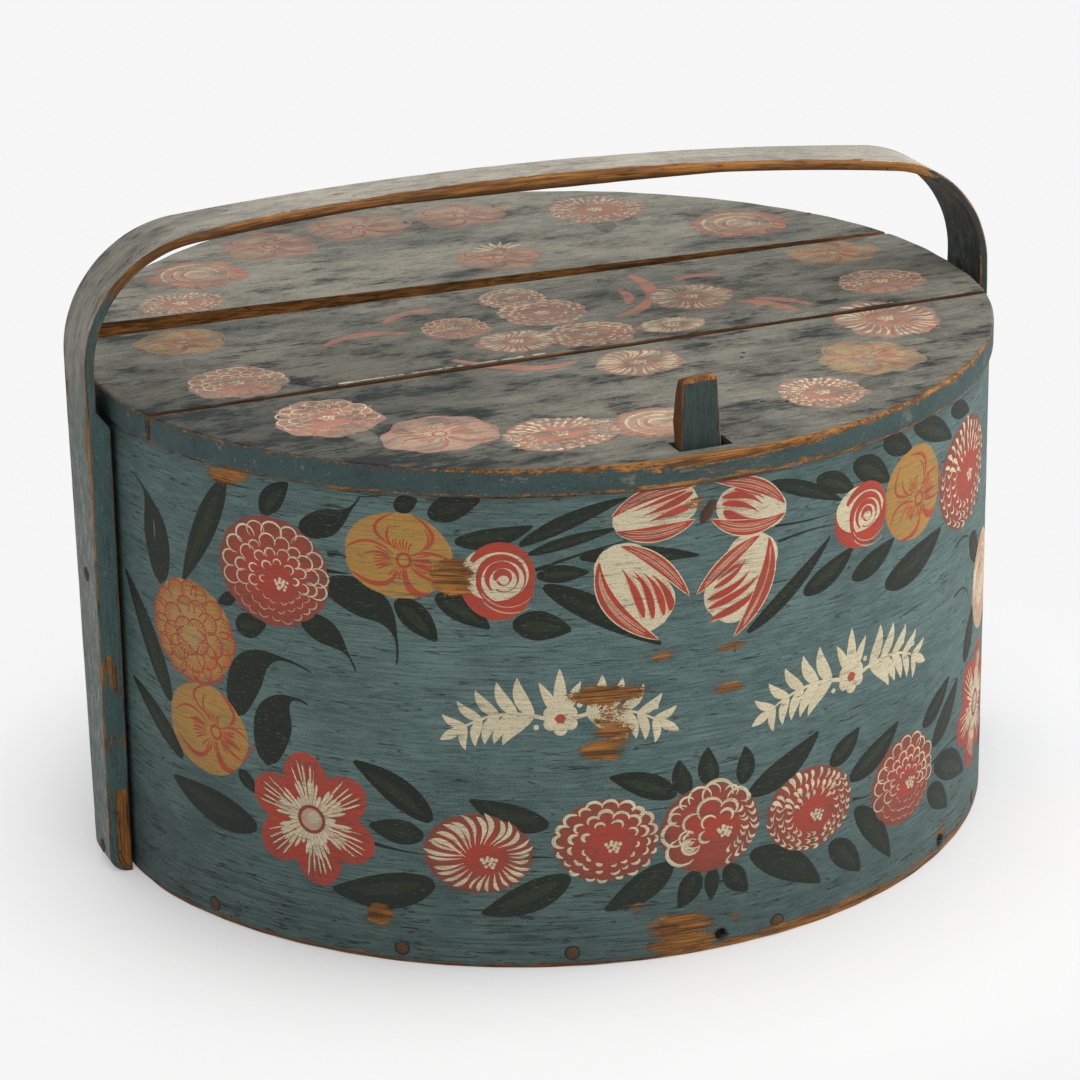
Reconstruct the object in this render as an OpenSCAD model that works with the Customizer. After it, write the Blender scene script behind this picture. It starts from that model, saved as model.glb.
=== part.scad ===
// Slightly oval bentwood box with a lapped and sewn side band, a fixed strap handle,
// a loose lid of three boards and a wooden spring latch. Millimetres, +Z up,
// X along the handle and the lid boards, -Y is the front.

/* [Box] */
// Length of the box, along the handle
box_len = 440; // [400:1:480]
// Depth of the box, from front to back
box_dep = 423; // [390:1:460]
// Direction, from the long axis, in which the end arcs meet the flatter arcs
join_dir = 15; // [10:1:25]
// Height of the side band
band_h = 229; // [180:1:280]
// Thickness of the side band
band_t = 6; // [4:0.5:8]

/* [Lap and sewing] */
// Direction of the outer end of the band, seen from above
lap_end_dir = 58; // [50:1:75]
// Angle over which the two ends of the band lie on each other
lap_angle = 26; // [20:1:34]
// How far each skived end stands proud of the band's face
lap_rise = 1.8; // [1:0.1:3]
// Angle from the outer end to the outer row of root stitches
outer_row_angle = 4; // [3:0.5:7]
// Angle from the outer end to the inner row of root stitches
inner_row_angle = 17; // [12:0.5:20]
// Number of long stitches in a row
stitch_count = 5; // [3:1:7]
// Thickness of the root strand
root_d = 3; // [2:0.2:4]
// Height of the lowest stitch hole
stitch_z = 28; // [24:1:40]

/* [Bottom] */
// Thickness of the bottom boards
bottom_t = 14; // [12:1:22]
// Distance of the two bottom seams from the middle
bottom_seam = 55; // [45:1:60]
// Shrinkage gap between two bottom boards
bottom_gap = 0.5; // [0.3:0.1:2]
// Diameter of the wooden pegs that hold the bottom
peg_d = 5.6; // [4:0.2:8]
// Depth of a peg in the edge of the bottom
peg_depth = 26; // [18:1:36]
// How far a peg end stands proud of the band
peg_proud = 0.5; // [0.2:0.1:1]

/* [Handle] */
// Distance of the handle in front of the middle of the box
handle_fwd = 9; // [0:1:20]
// Gap between the leg and the band
leg_gap = 1.2; // [0.4:0.1:2]
// Thickness of a leg below the lid
leg_t = 11; // [9:0.5:14]
// Thickness of the strap above the lid
strap_t = 4.6; // [4:0.2:7]
// Thickness of the grip in its middle
grip_t = 6.8; // [6:0.2:8]
// Width of the strap at the lid
strap_w = 35; // [28:1:44]
// Width of a leg at its foot
foot_w = 24; // [18:1:32]
// Width of the grip in its middle
grip_w = 27; // [22:1:32]
// Outer radius of the two bends
bend_r = 60; // [50:1:64]
// Height of the left bend's centre above the lid
bend_rise_left = 11.5; // [6:0.5:20]
// Height of the right bend's centre above the lid
bend_rise_right = 1.5; // [0:0.5:12]
// How far the middle of the grip arches above the bends
handle_crown = 9.2; // [6:0.2:16]
// Drop of the leg's inner shoulder below the top of the band
shoulder_drop = 3; // [2:0.5:8]
// Slope height of the shoulder
shoulder_h = 8; // [5:0.5:12]
// Radius of the rounded foot
foot_r = 9; // [4:0.5:10]
// Diameter of the iron nails in the legs
nail_d = 3.4; // [2.4:0.2:5]
// Diameter of a nail head
nail_head_d = 7; // [6:0.5:10]
// Height of the upper nail of each leg
leg_nail_z = 150; // [100:1:170]
// Height of the lower nail of each leg, which goes into the bottom
foot_nail_z = 10; // [8:0.5:10]

/* [Lid] */
// Thickness of the lid boards
lid_t = 12.5; // [9:0.5:16]
// Overhang of the lid past the band
lid_over = 1.8; // [0.5:0.1:2.4]
// Place of the middle of the front gap
front_gap_y = -58.8; // [-70:0.2:-50]
// Width of the front gap
front_gap_w = 4; // [2:0.2:6]
// Rear edge of the middle board at its left end
mid_edge_left = 58.5; // [50:0.5:62]
// Rear edge of the middle board at its right end
mid_edge_right = 48; // [44:0.5:58]
// Width of the rear gap at the left end
rear_gap_left = 22; // [6:0.5:26]
// Width of the rear gap at the right end
rear_gap_right = 4; // [3:0.5:12]
// Distance of each batten from the middle
batten_x = 104; // [80:1:120]
// Width of a batten
batten_w = 34; // [28:1:44]
// Thickness of a batten
batten_t = 14; // [10:1:18]
// Bevel along a batten's lower edges
batten_bevel = 5; // [2:0.5:8]
// Gap between the batten ends and the band
batten_clear = 5; // [4:0.5:10]
// Diameter of the wooden pegs through the lid boards
lid_peg_d = 6; // [4:0.2:8]
// Distance of a lid peg from the edge of its board
lid_peg_in = 24; // [18:1:28]

/* [Latch] */
// Place of the tongue along the front
tongue_x = -5; // [-12:1:12]
// Height of the tongue above the lid
tongue_h = 32; // [24:1:34]
// Width of the tongue at the lid
tongue_w = 20; // [16:0.5:24]
// Width of the tongue at its tip
tip_w = 17; // [12:0.5:20]
// Thickness of the tongue at the lid
tongue_t = 6.5; // [5:0.5:8]
// How far the nose swells behind the tongue
nose = 3; // [2:0.2:4]
// Height of the nose above the lid
nose_rise = 10.5; // [8:0.5:14]
// Length of the tapered tip
tip_len = 8; // [5:0.5:10]
// How far the tip leans inwards, and slants across its top
tip_lean = 1; // [0:0.2:2]
// Thickness of the root
root_t = 8; // [7:0.5:10]
// Length of the root below its nail
root_len = 40; // [30:1:60]
// Depth of the nail below the top of the band
tongue_nail_drop = 15; // [12:0.5:20]
// Gap between the tongue and the band at the lid
tongue_stand = 4; // [3:0.2:5]

/* [Clearances] */
// Gap between the bottom boards and the band
bottom_fit = 0.3; // [0.2:0.05:0.5]
// Room round a peg, nail or root in its hole
hole_fit = 0.1; // [0.05:0.05:0.2]
// Gap between the tongue's root and the band
root_fit = 0.4; // [0.35:0.05:0.6]
// Room in the slot in front of the tongue
slot_front = 2.7; // [2.4:0.1:3.2]
// Room in the slot behind the nose
slot_back = 0.6; // [0.4:0.1:2]
// Room in the slot left of the tongue
slot_left = 1.5; // [0.6:0.1:3]
// Room in the slot right of the tongue
slot_right = 4.5; // [0.6:0.1:6]
// Room round the nail in the tongue
tongue_nail_fit = 0.5; // [0.4:0.05:0.7]

/* [Hidden] */
$fn = 96;

paint = [0.27, 0.37, 0.39];
lid_paint = [0.42, 0.44, 0.42];
bare_wood = [0.62, 0.42, 0.20];
root_wood = [0.52, 0.38, 0.22];
iron = [0.20, 0.13, 0.10];

// The outline is a circle on the longer half size, flattened across the shorter one by two wider arcs.
half_len = box_len / 2;
half_dep = box_dep / 2;
is_wide = box_dep <= box_len;
round_r = max(half_len, half_dep);
short_half = min(half_len, half_dep);
join_in = short_half - round_r * sin(join_dir);
flat_r = (pow(round_r * cos(join_dir), 2) + join_in * join_in) / (2 * join_in);
flat_c = flat_r - short_half;

// Radius of the front and rear faces, and how far their centres lie beyond the middle.
side_r = is_wide ? flat_r : round_r;
side_c = is_wide ? flat_c : 0;
past = 1;
far = 2 * box_len;

// The outer end of the band follows a larger, offset circle that leaves the flatter arc where the lap begins.
// The inner end follows a smaller one, offset the other way.
lap_c = is_wide ? [0, -flat_c, 0] : [-flat_c, 0, 0];
lap_sink = 0.2;
lap_off = (lap_rise + lap_sink) / (1 - cos(lap_angle));
lap_r = flat_r + lap_off - lap_sink;
lap_inner_r = flat_r - band_t + lap_sink - lap_off;

// The bottom pegs: directions of the pegs, and of two holes whose pegs are lost.
peg_dirs = [-157, -130, -109, -82, -36, 25, 50, 75, 98, 122, 150];
lost_peg_dirs = [-90, -50];
peg_z = bottom_t / 2;

lid_z = band_h;
lid_top = lid_z + lid_t;

// Handle: the outer face of the legs, the bend centres and the arch that is tangent to both bends.
leg_in = half_len + leg_gap;
leg_out = leg_in + leg_t;
bend_x = leg_out - bend_r;
bend_zl = lid_top + bend_rise_left;
bend_zr = lid_top + bend_rise_right;
bend_span = norm([2 * bend_x, bend_zr - bend_zl]) / 2;
bend_tilt = atan2(bend_zr - bend_zl, 2 * bend_x);
arch_r = bend_r + (handle_crown * handle_crown + bend_span * bend_span) / (2 * handle_crown);
arch_drop = arch_r - bend_r - handle_crown;
arch_c = [arch_drop * sin(bend_tilt), (bend_zl + bend_zr) / 2 - arch_drop * cos(bend_tilt)];
arch_half = asin(bend_span / (arch_r - bend_r));
handle_top = arch_c[1] + arch_r;
waist_r = bend_x * bend_x / (strap_w - grip_w);
shoulder_z = band_h - shoulder_drop;
bend_overlap = 0.05;

// Latch: heights, and depths measured inwards from the inner face of the band.
band_in_y = -(half_dep - band_t);
tongue_nail_z = band_h - tongue_nail_drop;
tip_z = lid_top + tongue_h;

// Lid: edges of the boards, and depths of the two pegs of each board.
front_edge = front_gap_y - front_gap_w / 2;
mid_front = front_gap_y + front_gap_w / 2;
rear_left = mid_edge_left + rear_gap_left;
rear_right = mid_edge_right + rear_gap_right;
batten_side = batten_x + batten_w / 2;
batten_end = sqrt(pow(side_r - band_t - batten_clear, 2) - batten_side * batten_side) - side_c;
lid_peg_ys = [-batten_end + lid_peg_in, front_edge - lid_peg_in,
              mid_front + lid_peg_in, edge_y(0, mid_edge_left, mid_edge_right) - lid_peg_in,
              rear_left + lid_peg_in / 2, batten_end - lid_peg_in];

// Depth at x along a lid board's edge that runs from y0 at the left end to y1 at the right end.
function edge_y(x, y0, y1) = y0 + (y1 - y0) * (x + half_len) / box_len;

// Distance from the middle to the outline in direction t.
function outline_r(t) = let (along = is_wide ? abs(sin(t)) : abs(cos(t)))
    min(round_r, sqrt(flat_r * flat_r - flat_c * flat_c * (1 - along * along)) - flat_c * along);

// Radii of the lap's outer and inner faces about the flatter arc's centre, at an angle past the outer end.
function lap_face(a) = let (u = a - lap_angle)
    sqrt(lap_r * lap_r - pow(lap_off * sin(u), 2)) - lap_off * cos(u);
function lap_inner_face(a) =
    min(flat_r - band_t, sqrt(lap_inner_r * lap_inner_r - pow(lap_off * sin(a), 2)) + lap_off * cos(a));

// Places children on the band in direction t, standing off by d, with local +X outwards.
module on_band(t, z, d = 0) {
    rotate(t) translate([outline_r(t) + d, 0, z]) children();
}

// Places children on the lap, at an angle past the outer end.
module on_lap(a, z, d = 0) {
    translate(lap_c) rotate(lap_end_dir + a) translate([flat_r + d, 0, z]) children();
}

// A pin that runs inwards along local -X from the point where it stands.
module pin_in(d, len) {
    rotate([0, -90, 0]) cylinder(d = d, h = len);
}

// A wedge of the plane between two directions, at most 120 degrees wide.
module wedge(from, to) {
    mid = (from + to) / 2;
    polygon([[0, 0], far * [cos(from), sin(from)], far * [cos(mid), sin(mid)], far * [cos(to), sin(to)]]);
}

// The outline of the box, moved out by d.
module oval(d = 0) {
    intersection() {
        circle(round_r + d);
        rotate(is_wide ? 0 : 90) translate([0, -flat_c]) circle(flat_r + d);
        rotate(is_wide ? 0 : 90) translate([0, flat_c]) circle(flat_r + d);
    }
}

// The outer end of the band, where it climbs over the inner end.
module lap_tail() {
    translate(lap_c) rotate(lap_end_dir) intersection() {
        rotate(lap_angle) translate([-lap_off, 0]) circle(lap_r);
        wedge(0, lap_angle);
    }
}

// The inside of the band, moved in by d, narrowed by the inner end of the band.
module hollow(d = 0) {
    difference() {
        oval(-band_t - d);
        translate(lap_c) rotate(lap_end_dir) difference() {
            wedge(0, lap_angle + asin(d / flat_r));
            translate([lap_off, 0]) circle(lap_inner_r - d);
        }
    }
}

function stitch_hole_z(i) = stitch_z + i * (band_h - 2 * stitch_z) / (2 * stitch_count - 1);

// Holes of the pegs and nails that go through the band.
module base_peg_holes() {
    for (t = concat(peg_dirs, lost_peg_dirs))
        on_band(t, peg_z, lap_rise + past)
            pin_in(peg_d + 2 * hole_fit, lap_rise + past + band_t + peg_depth);
}

module leg_pins(side, d, from, to, z) {
    translate([side * from, -handle_fwd, z]) rotate(side > 0 ? 0 : 180) pin_in(d, from - to);
}

module leg_nail_holes(d = nail_d + 2 * hole_fit) {
    for (side = [-1, 1]) {
        leg_pins(side, d, leg_out + past, half_len - band_t - peg_depth, foot_nail_z);
        leg_pins(side, d, leg_out + past, half_len - 2 * band_t, leg_nail_z);
    }
}

module stitch_holes(row) {
    for (i = [0 : 2 * stitch_count - 1])
        on_lap(row, stitch_hole_z(i), lap_rise + past)
            pin_in(root_d + 2 * hole_fit, band_t + 2 * (lap_rise + past));
}

module latch_nail_hole(d) {
    translate([tongue_x, -half_dep - past, tongue_nail_z]) rotate([-90, 0, 0])
        cylinder(d = d, h = band_t + root_t + 4 * past);
}

module side_band() {
    color(paint) difference() {
        linear_extrude(band_h) difference() {
            union() {
                oval();
                lap_tail();
            }
            hollow();
        }
        base_peg_holes();
        leg_nail_holes();
        stitch_holes(outer_row_angle);
        stitch_holes(inner_row_angle);
        latch_nail_hole(nail_d + 2 * hole_fit);
    }
}

// One root strand in a running stitch, in and out through the holes of its row.
module seam_root(row) {
    out = lap_face(row) - flat_r + root_d / 2 + hole_fit;
    inn = lap_inner_face(row) - flat_r - root_d / 2 - hole_fit;
    leg_d = root_d - 2 * hole_fit;
    color(root_wood) for (i = [0 : 2 * stitch_count - 1]) {
        on_lap(row, stitch_hole_z(i), out) pin_in(leg_d, out - inn);
        if (i < 2 * stitch_count - 1)
            on_lap(row, stitch_hole_z(i) - root_d / 2, i % 2 == 0 ? out : inn)
                cylinder(d = root_d, h = stitch_hole_z(i + 1) - stitch_hole_z(i) + root_d);
    }
}

module seam_root_outer() { seam_root(outer_row_angle); }
module seam_root_inner() { seam_root(inner_row_angle); }

// A bottom board between two depths, cut to the inside of the band.
module bottom_board(y0, y1) {
    color(bare_wood) difference() {
        linear_extrude(bottom_t) intersection() {
            hollow(bottom_fit);
            translate([-far / 2, y0]) square([far, y1 - y0]);
        }
        base_peg_holes();
        leg_nail_holes();
    }
}

module bottom_front_board() { bottom_board(-box_dep, -bottom_seam - bottom_gap / 2); }
module bottom_middle_board() { bottom_board(-bottom_seam + bottom_gap / 2, bottom_seam - bottom_gap / 2); }
module bottom_rear_board() { bottom_board(bottom_seam + bottom_gap / 2, box_dep); }

module base_pegs() {
    color(bare_wood) for (t = peg_dirs)
        on_band(t, peg_z, peg_proud) pin_in(peg_d, peg_proud + band_t + peg_depth - past);
}

// Side view of what the strap encloses, moved in by t: straight legs, two bends and the arch.
module strap_outline(t) {
    difference() {
        intersection() {
            translate([t - leg_out, -past]) square([2 * (leg_out - t), far]);
            translate(arch_c) circle(arch_r - t);
        }
        strap_corner(t, -1, bend_zl);
        strap_corner(t, 1, bend_zr);
    }
}

// The corner outside one bend, between the tangent points of the leg and of the arch.
module strap_corner(t, side, z) {
    r = bend_r - t;
    lean = 90 - side * arch_half + bend_tilt;
    difference() {
        polygon([[side * (leg_out - t), z], [side * bend_x + r * cos(lean), z + r * sin(lean)],
                 [side * bend_x, far], [side * far, far], [side * far, z]]);
        translate([side * bend_x, z]) circle(r + bend_overlap);
    }
}

// Side view of the thick part of a leg, with its sloping shoulder.
module leg_side() {
    polygon([[leg_in, -2 * past], [leg_out + past, -2 * past], [leg_out + past, shoulder_z + shoulder_h],
             [leg_out - strap_t, shoulder_z + shoulder_h], [leg_in, shoulder_z]]);
}

module foot_corner() {
    difference() {
        translate([leg_out - foot_r, -2 * past]) square(foot_r + 2 * past);
        translate([leg_out - foot_r, foot_r]) circle(foot_r);
    }
}

// Side view of the whole handle: thick legs, a thin bent strap, and a grip that is flat below.
module handle_side() {
    difference() {
        strap_outline(0);
        difference() {
            intersection() {
                strap_outline(strap_t);
                translate(arch_c) rotate(bend_tilt) translate([-far, -far])
                    square([2 * far, far + arch_r - grip_t]);
            }
            leg_side();
            mirror([1, 0]) leg_side();
        }
        foot_corner();
        mirror([1, 0]) foot_corner();
    }
}

// End view of the handle: legs that narrow towards the foot.
module handle_front() {
    polygon([[-foot_w / 2, 0], [foot_w / 2, 0], [strap_w / 2, shoulder_z], [strap_w / 2, handle_top],
             [-strap_w / 2, handle_top], [-strap_w / 2, shoulder_z]]);
}

module handle() {
    color(paint) difference() {
        translate([0, -handle_fwd, 0]) difference() {
            intersection() {
                rotate([90, 0, 0]) linear_extrude(strap_w + 2 * past, center = true) handle_side();
                rotate([90, 0, 90]) linear_extrude(far, center = true) handle_front();
            }
            for (s = [-1, 1]) translate([0, s * (grip_w / 2 + waist_r), bend_zr])
                cylinder(r = waist_r, h = handle_top);
        }
        leg_nail_holes();
    }
}

// Two iron nails of one leg: the lower into the bottom, the upper through the band.
module handle_nails(side) {
    color(iron) {
        leg_pins(side, nail_d, leg_out, half_len - band_t - peg_depth + past, foot_nail_z);
        leg_pins(side, nail_d, leg_out, half_len - band_t - past, leg_nail_z);
        for (z = [foot_nail_z, leg_nail_z]) leg_pins(side, nail_head_d, leg_out + past, leg_out, z);
    }
}

module handle_nails_left() { handle_nails(-1); }
module handle_nails_right() { handle_nails(1); }

// The strip of the lid between two edges, each given by its depths at the left and right ends.
module lid_strip(low, high) {
    polygon([[-far, edge_y(-far, low[0], low[1])], [far, edge_y(far, low[0], low[1])],
             [far, edge_y(far, high[0], high[1])], [-far, edge_y(-far, high[0], high[1])]]);
}

module lid_peg_pins(side, d, top, len) {
    for (y = lid_peg_ys) translate([side * batten_x, y, top - len]) cylinder(d = d, h = len);
}

module lid_peg_holes() {
    for (side = [-1, 1])
        lid_peg_pins(side, lid_peg_d + 2 * hole_fit, lid_top + past, lid_t + batten_t + 2 * past);
}

module lid_board(low, high) {
    color(lid_paint) difference() {
        translate([0, 0, lid_z]) linear_extrude(lid_t) intersection() {
            oval(lid_over);
            lid_strip(low, high);
        }
        lid_peg_holes();
        latch_slot();
    }
}

// The slot that the tongue stands in.
module latch_slot() {
    slot_y0 = band_in_y + tongue_stand - slot_front;
    slot_y1 = band_in_y + tongue_stand + tongue_t + nose + slot_back;
    translate([tongue_x - tongue_w / 2 - slot_left, slot_y0, lid_z - past])
        cube([tongue_w + slot_left + slot_right, slot_y1 - slot_y0, lid_t + 2 * past]);
}

module lid_front_board() { lid_board([-far, -far], [front_edge, front_edge]); }
module lid_middle_board() { lid_board([mid_front, mid_front], [mid_edge_left, mid_edge_right]); }
module lid_rear_board() { lid_board([rear_left, rear_right], [far, far]); }

// A batten under the lid, bevelled along its lower edges and cut to the curve of the band.
module lid_batten(side) {
    color(bare_wood) difference() {
        intersection() {
            translate([side * batten_x, 0, lid_z]) rotate([90, 0, 0]) linear_extrude(box_dep, center = true)
                polygon([[-batten_w / 2, 0], [batten_w / 2, 0], [batten_w / 2, batten_bevel - batten_t],
                         [batten_w / 2 - batten_bevel, -batten_t], [batten_bevel - batten_w / 2, -batten_t],
                         [-batten_w / 2, batten_bevel - batten_t]]);
            translate([0, 0, lid_z - batten_t]) linear_extrude(batten_t) oval(-band_t - batten_clear);
        }
        lid_peg_holes();
    }
}

module lid_batten_left() { lid_batten(-1); }
module lid_batten_right() { lid_batten(1); }

module batten_pegs(side) {
    color(bare_wood) lid_peg_pins(side, lid_peg_d, lid_top, lid_t + batten_t);
}

module batten_pegs_left() { batten_pegs(-1); }
module batten_pegs_right() { batten_pegs(1); }

// Side view of the tongue: root against the band, whose curve trims it, blade and nose standing off it.
module tongue_side() {
    back = tongue_stand + tongue_t;
    root_z = tongue_nail_z - root_len;
    nose_z = lid_top + nose_rise;
    polygon([[0, root_z], [root_t - tip_lean, root_z], [root_t, root_z + root_t],
             [root_t, tongue_nail_z], [back, lid_z], [back, lid_top], [back + nose, nose_z],
             [back + nose / 2, tip_z - tip_len], [tongue_stand + tip_lean + tongue_t - nose / 2, tip_z],
             [tongue_stand + tip_lean, tip_z], [tongue_stand, lid_top], [tongue_stand, lid_z],
             [0, tongue_nail_z]]);
}

// Front view of the tongue, narrowing upwards to a slightly slanted tip.
module tongue_front() {
    polygon([[-tongue_w / 2, 0], [tongue_w / 2, 0], [tongue_w / 2, lid_top],
             [tip_w / 2, tip_z], [-tip_w / 2, tip_z - tip_lean], [-tongue_w / 2, lid_top]]);
}

module latch_tongue() {
    color(paint) difference() {
        intersection() {
            translate([tongue_x, band_in_y, 0]) rotate([90, 0, 90])
                linear_extrude(tongue_w + past, center = true) tongue_side();
            translate([tongue_x, 0, 0]) rotate([90, 0, 0])
                linear_extrude(far, center = true) tongue_front();
            linear_extrude(tip_z + past) oval(-band_t - root_fit);
        }
        latch_nail_hole(nail_d + 2 * tongue_nail_fit);
    }
}

module latch_nail() {
    color(iron) {
        translate([tongue_x, -half_dep - past, tongue_nail_z]) rotate([-90, 0, 0])
            cylinder(d = nail_d, h = band_t + root_t + 2 * past);
        translate([tongue_x, -half_dep - past, tongue_nail_z]) rotate([-90, 0, 0])
            cylinder(d = nail_head_d, h = past);
    }
}

side_band();
seam_root_outer();
seam_root_inner();
bottom_front_board();
bottom_middle_board();
bottom_rear_board();
base_pegs();
handle();
handle_nails_left();
handle_nails_right();
lid_front_board();
lid_middle_board();
lid_rear_board();
lid_batten_left();
lid_batten_right();
batten_pegs_left();
batten_pegs_right();
latch_tongue();
latch_nail();
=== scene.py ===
"""Dresses a painted bentwood box: side band, lid boards, handle, latch, pegs, nails and ornament."""

import math

import bmesh
import bpy
import numpy as np
from bpy.props import FloatProperty, FloatVectorProperty, PointerProperty
from mathutils import Matrix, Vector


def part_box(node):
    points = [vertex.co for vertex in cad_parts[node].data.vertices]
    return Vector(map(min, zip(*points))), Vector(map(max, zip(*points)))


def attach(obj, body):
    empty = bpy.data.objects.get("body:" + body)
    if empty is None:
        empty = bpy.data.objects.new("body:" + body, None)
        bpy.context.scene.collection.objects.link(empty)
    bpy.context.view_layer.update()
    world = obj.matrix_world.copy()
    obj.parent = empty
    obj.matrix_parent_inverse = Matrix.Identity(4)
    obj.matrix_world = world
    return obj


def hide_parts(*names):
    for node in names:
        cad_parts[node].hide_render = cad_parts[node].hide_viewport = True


bl_info = {
    "name": "Painted Bentwood Box",
    "version": (1, 0, 0),
    "blender": (4, 5, 0),
    "location": "View3D > Sidebar > Bentwood Box",
    "description": "Builds the dressed bentwood box round its packed solids",
    "category": "Add Mesh",
}

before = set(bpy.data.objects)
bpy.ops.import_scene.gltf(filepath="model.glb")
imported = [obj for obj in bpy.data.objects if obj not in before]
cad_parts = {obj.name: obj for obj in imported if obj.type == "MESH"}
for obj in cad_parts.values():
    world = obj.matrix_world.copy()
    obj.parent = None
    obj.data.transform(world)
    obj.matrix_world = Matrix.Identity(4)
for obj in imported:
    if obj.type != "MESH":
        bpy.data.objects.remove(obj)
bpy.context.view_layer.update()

MM = 0.001
BAND_LOW, BAND_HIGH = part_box("side_band")
FRONT_LOW, FRONT_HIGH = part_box("lid_front_board")
MIDDLE_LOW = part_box("lid_middle_board")[0]
HANDLE_LOW, HANDLE_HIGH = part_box("handle")
TONGUE_LOW, TONGUE_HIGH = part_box("latch_tongue")


def length(name, description, default):
    """A size that a user may change, in metres."""
    return FloatProperty(name=name, description=description, default=default, unit="LENGTH")


def angle(name, description, degrees):
    """An angle that a user may change."""
    return FloatProperty(name=name, description=description, default=math.radians(degrees), unit="ROTATION")


def colour(name, description, red, green, blue):
    """A colour that a user may change, as it looks on a screen, from 0 to 255."""
    shown = (red / 255, green / 255, blue / 255)
    return FloatVectorProperty(name=name, description=description, default=shown, size=3,
                               min=0, max=1, subtype="COLOR_GAMMA")


class BoxSizes(bpy.types.PropertyGroup):
    """Sizes of the box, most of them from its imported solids."""
    half_length: length("Half length", "Half the length of the side band", -BAND_LOW.x)
    half_depth: length("Half depth", "Half the depth of the side band", -BAND_LOW.y)
    join: angle("Join", "Direction in which the end arcs meet the flatter arcs", 15)
    band_height: length("Band height", "Height of the side band", BAND_HIGH.z)
    band_wall: length("Band wall", "Thickness of the side band", 6 * MM)
    lap_end: angle("Lap end", "Direction of the outer end of the band", 58)
    lap: angle("Lap", "Angle over which the ends of the band lie on each other", 26)
    lap_rise: length("Lap rise", "How far each skived end stands proud", 1.8 * MM)
    peg_radius: length("Peg radius", "Radius of the pegs in the bottom", 2.8 * MM)
    peg_depth: length("Peg depth", "Length of a peg behind the face of the band", 31 * MM)
    peg_height: length("Peg height", "Height of the pegs in the bottom", 7 * MM)
    lid_low: length("Lid underside", "Height of the lid's underside", FRONT_LOW.z)
    lid_top: length("Lid top", "Height of the lid's upper side", FRONT_HIGH.z)
    lid_over: length("Lid overhang", "Overhang of the lid past the band", 1.8 * MM)
    front_edge: length("Front edge", "Rear edge of the front lid board", FRONT_HIGH.y)
    middle_front: length("Middle front", "Front edge of the middle lid board", MIDDLE_LOW.y)
    middle_left: length("Middle left", "Rear edge of the middle board, left end", 58.5 * MM)
    middle_right: length("Middle right", "Rear edge of the middle board, right end", 48 * MM)
    rear_left: length("Rear left", "Front edge of the rear board, left end", 80.5 * MM)
    rear_right: length("Rear right", "Front edge of the rear board, right end", 52 * MM)
    lid_peg_radius: length("Lid peg radius", "Radius of the pegs through the lid", 3 * MM)
    lid_peg_place: length("Lid peg place", "Place of the lid's pegs to each side", 104 * MM)
    lid_peg_depth: length("Lid peg depth", "Length of the pegs through the lid", 26 * MM)
    handle_place: length("Handle place", "Depth of the handle's middle", (HANDLE_LOW.y + HANDLE_HIGH.y) / 2)
    leg_out: length("Leg out", "Outer face of the handle's legs", HANDLE_HIGH.x)
    leg_wall: length("Leg wall", "Thickness of a leg", 11 * MM)
    strap_wall: length("Strap wall", "Thickness of the bent strap", 4.6 * MM)
    grip_wall: length("Grip wall", "Thickness of the grip in its middle", 6.8 * MM)
    strap_width: length("Strap width", "Width of the strap at the lid", 35 * MM)
    foot_width: length("Foot width", "Width of a leg at its foot", 24 * MM)
    grip_width: length("Grip width", "Width of the grip in its middle", 27 * MM)
    bend: length("Bend", "Outer radius of the bends", 60 * MM)
    bend_left: length("Left bend", "Height of the left bend's centre", 253 * MM)
    bend_right: length("Right bend", "Height of the right bend's centre", 243 * MM)
    crown: length("Crown", "Rise of the grip above the bends", 9.2 * MM)
    shoulder: length("Shoulder", "Height of the legs' inner shoulder", 226 * MM)
    shoulder_rise: length("Shoulder rise", "Slope height of the shoulder", 8 * MM)
    foot_round: length("Foot round", "Radius of the rounded foot", 9 * MM)
    nail_radius: length("Nail radius", "Radius of the iron nails", 1.7 * MM)
    nail_head: length("Nail head", "Radius of a nail head", 3.5 * MM)
    leg_nail: length("Leg nail", "Height of the upper leg nails", 150 * MM)
    foot_nail: length("Foot nail", "Height of the lower leg nails", 10 * MM)
    tongue_place: length("Tongue place", "Place of the tongue along the front",
                         (TONGUE_LOW.x + TONGUE_HIGH.x) / 2)
    tongue_low: length("Tongue low", "Lower end of the tongue", TONGUE_LOW.z)
    tongue_top: length("Tongue top", "Tip of the tongue", TONGUE_HIGH.z)
    tongue_width: length("Tongue width", "Width of the tongue at the lid", TONGUE_HIGH.x - TONGUE_LOW.x)
    tip_width: length("Tip width", "Width of the tongue at its tip", 17 * MM)
    tip_length: length("Tip length", "Length of the tongue's tapered tip", 8 * MM)
    tip_lean: length("Tip lean", "How far the tip leans inwards and slants", 1 * MM)
    tongue_wall: length("Tongue wall", "Thickness of the tongue at the lid", 6.5 * MM)
    tongue_stand: length("Tongue stand", "Gap between the tongue and the band at the lid", 4 * MM)
    tongue_root: length("Tongue root", "Thickness of the tongue's root", 8 * MM)
    root_fit: length("Root fit", "Gap between the tongue's root and the band", 0.4 * MM)
    tongue_nose: length("Tongue nose", "Swelling behind the tongue", 3 * MM)
    nose_rise: length("Nose rise", "Height of the nose above the lid", 10.5 * MM)
    tongue_nail: length("Tongue nail", "Height of the tongue's nail", 214 * MM)
    slot_front: length("Slot front", "Room in the slot in front of the tongue", 2.7 * MM)
    slot_back: length("Slot back", "Room in the slot behind the nose", 0.6 * MM)
    slot_left: length("Slot left", "Room in the slot left of the tongue", 1.5 * MM)
    slot_right: length("Slot right", "Room in the slot right of the tongue", 4.5 * MM)


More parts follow.
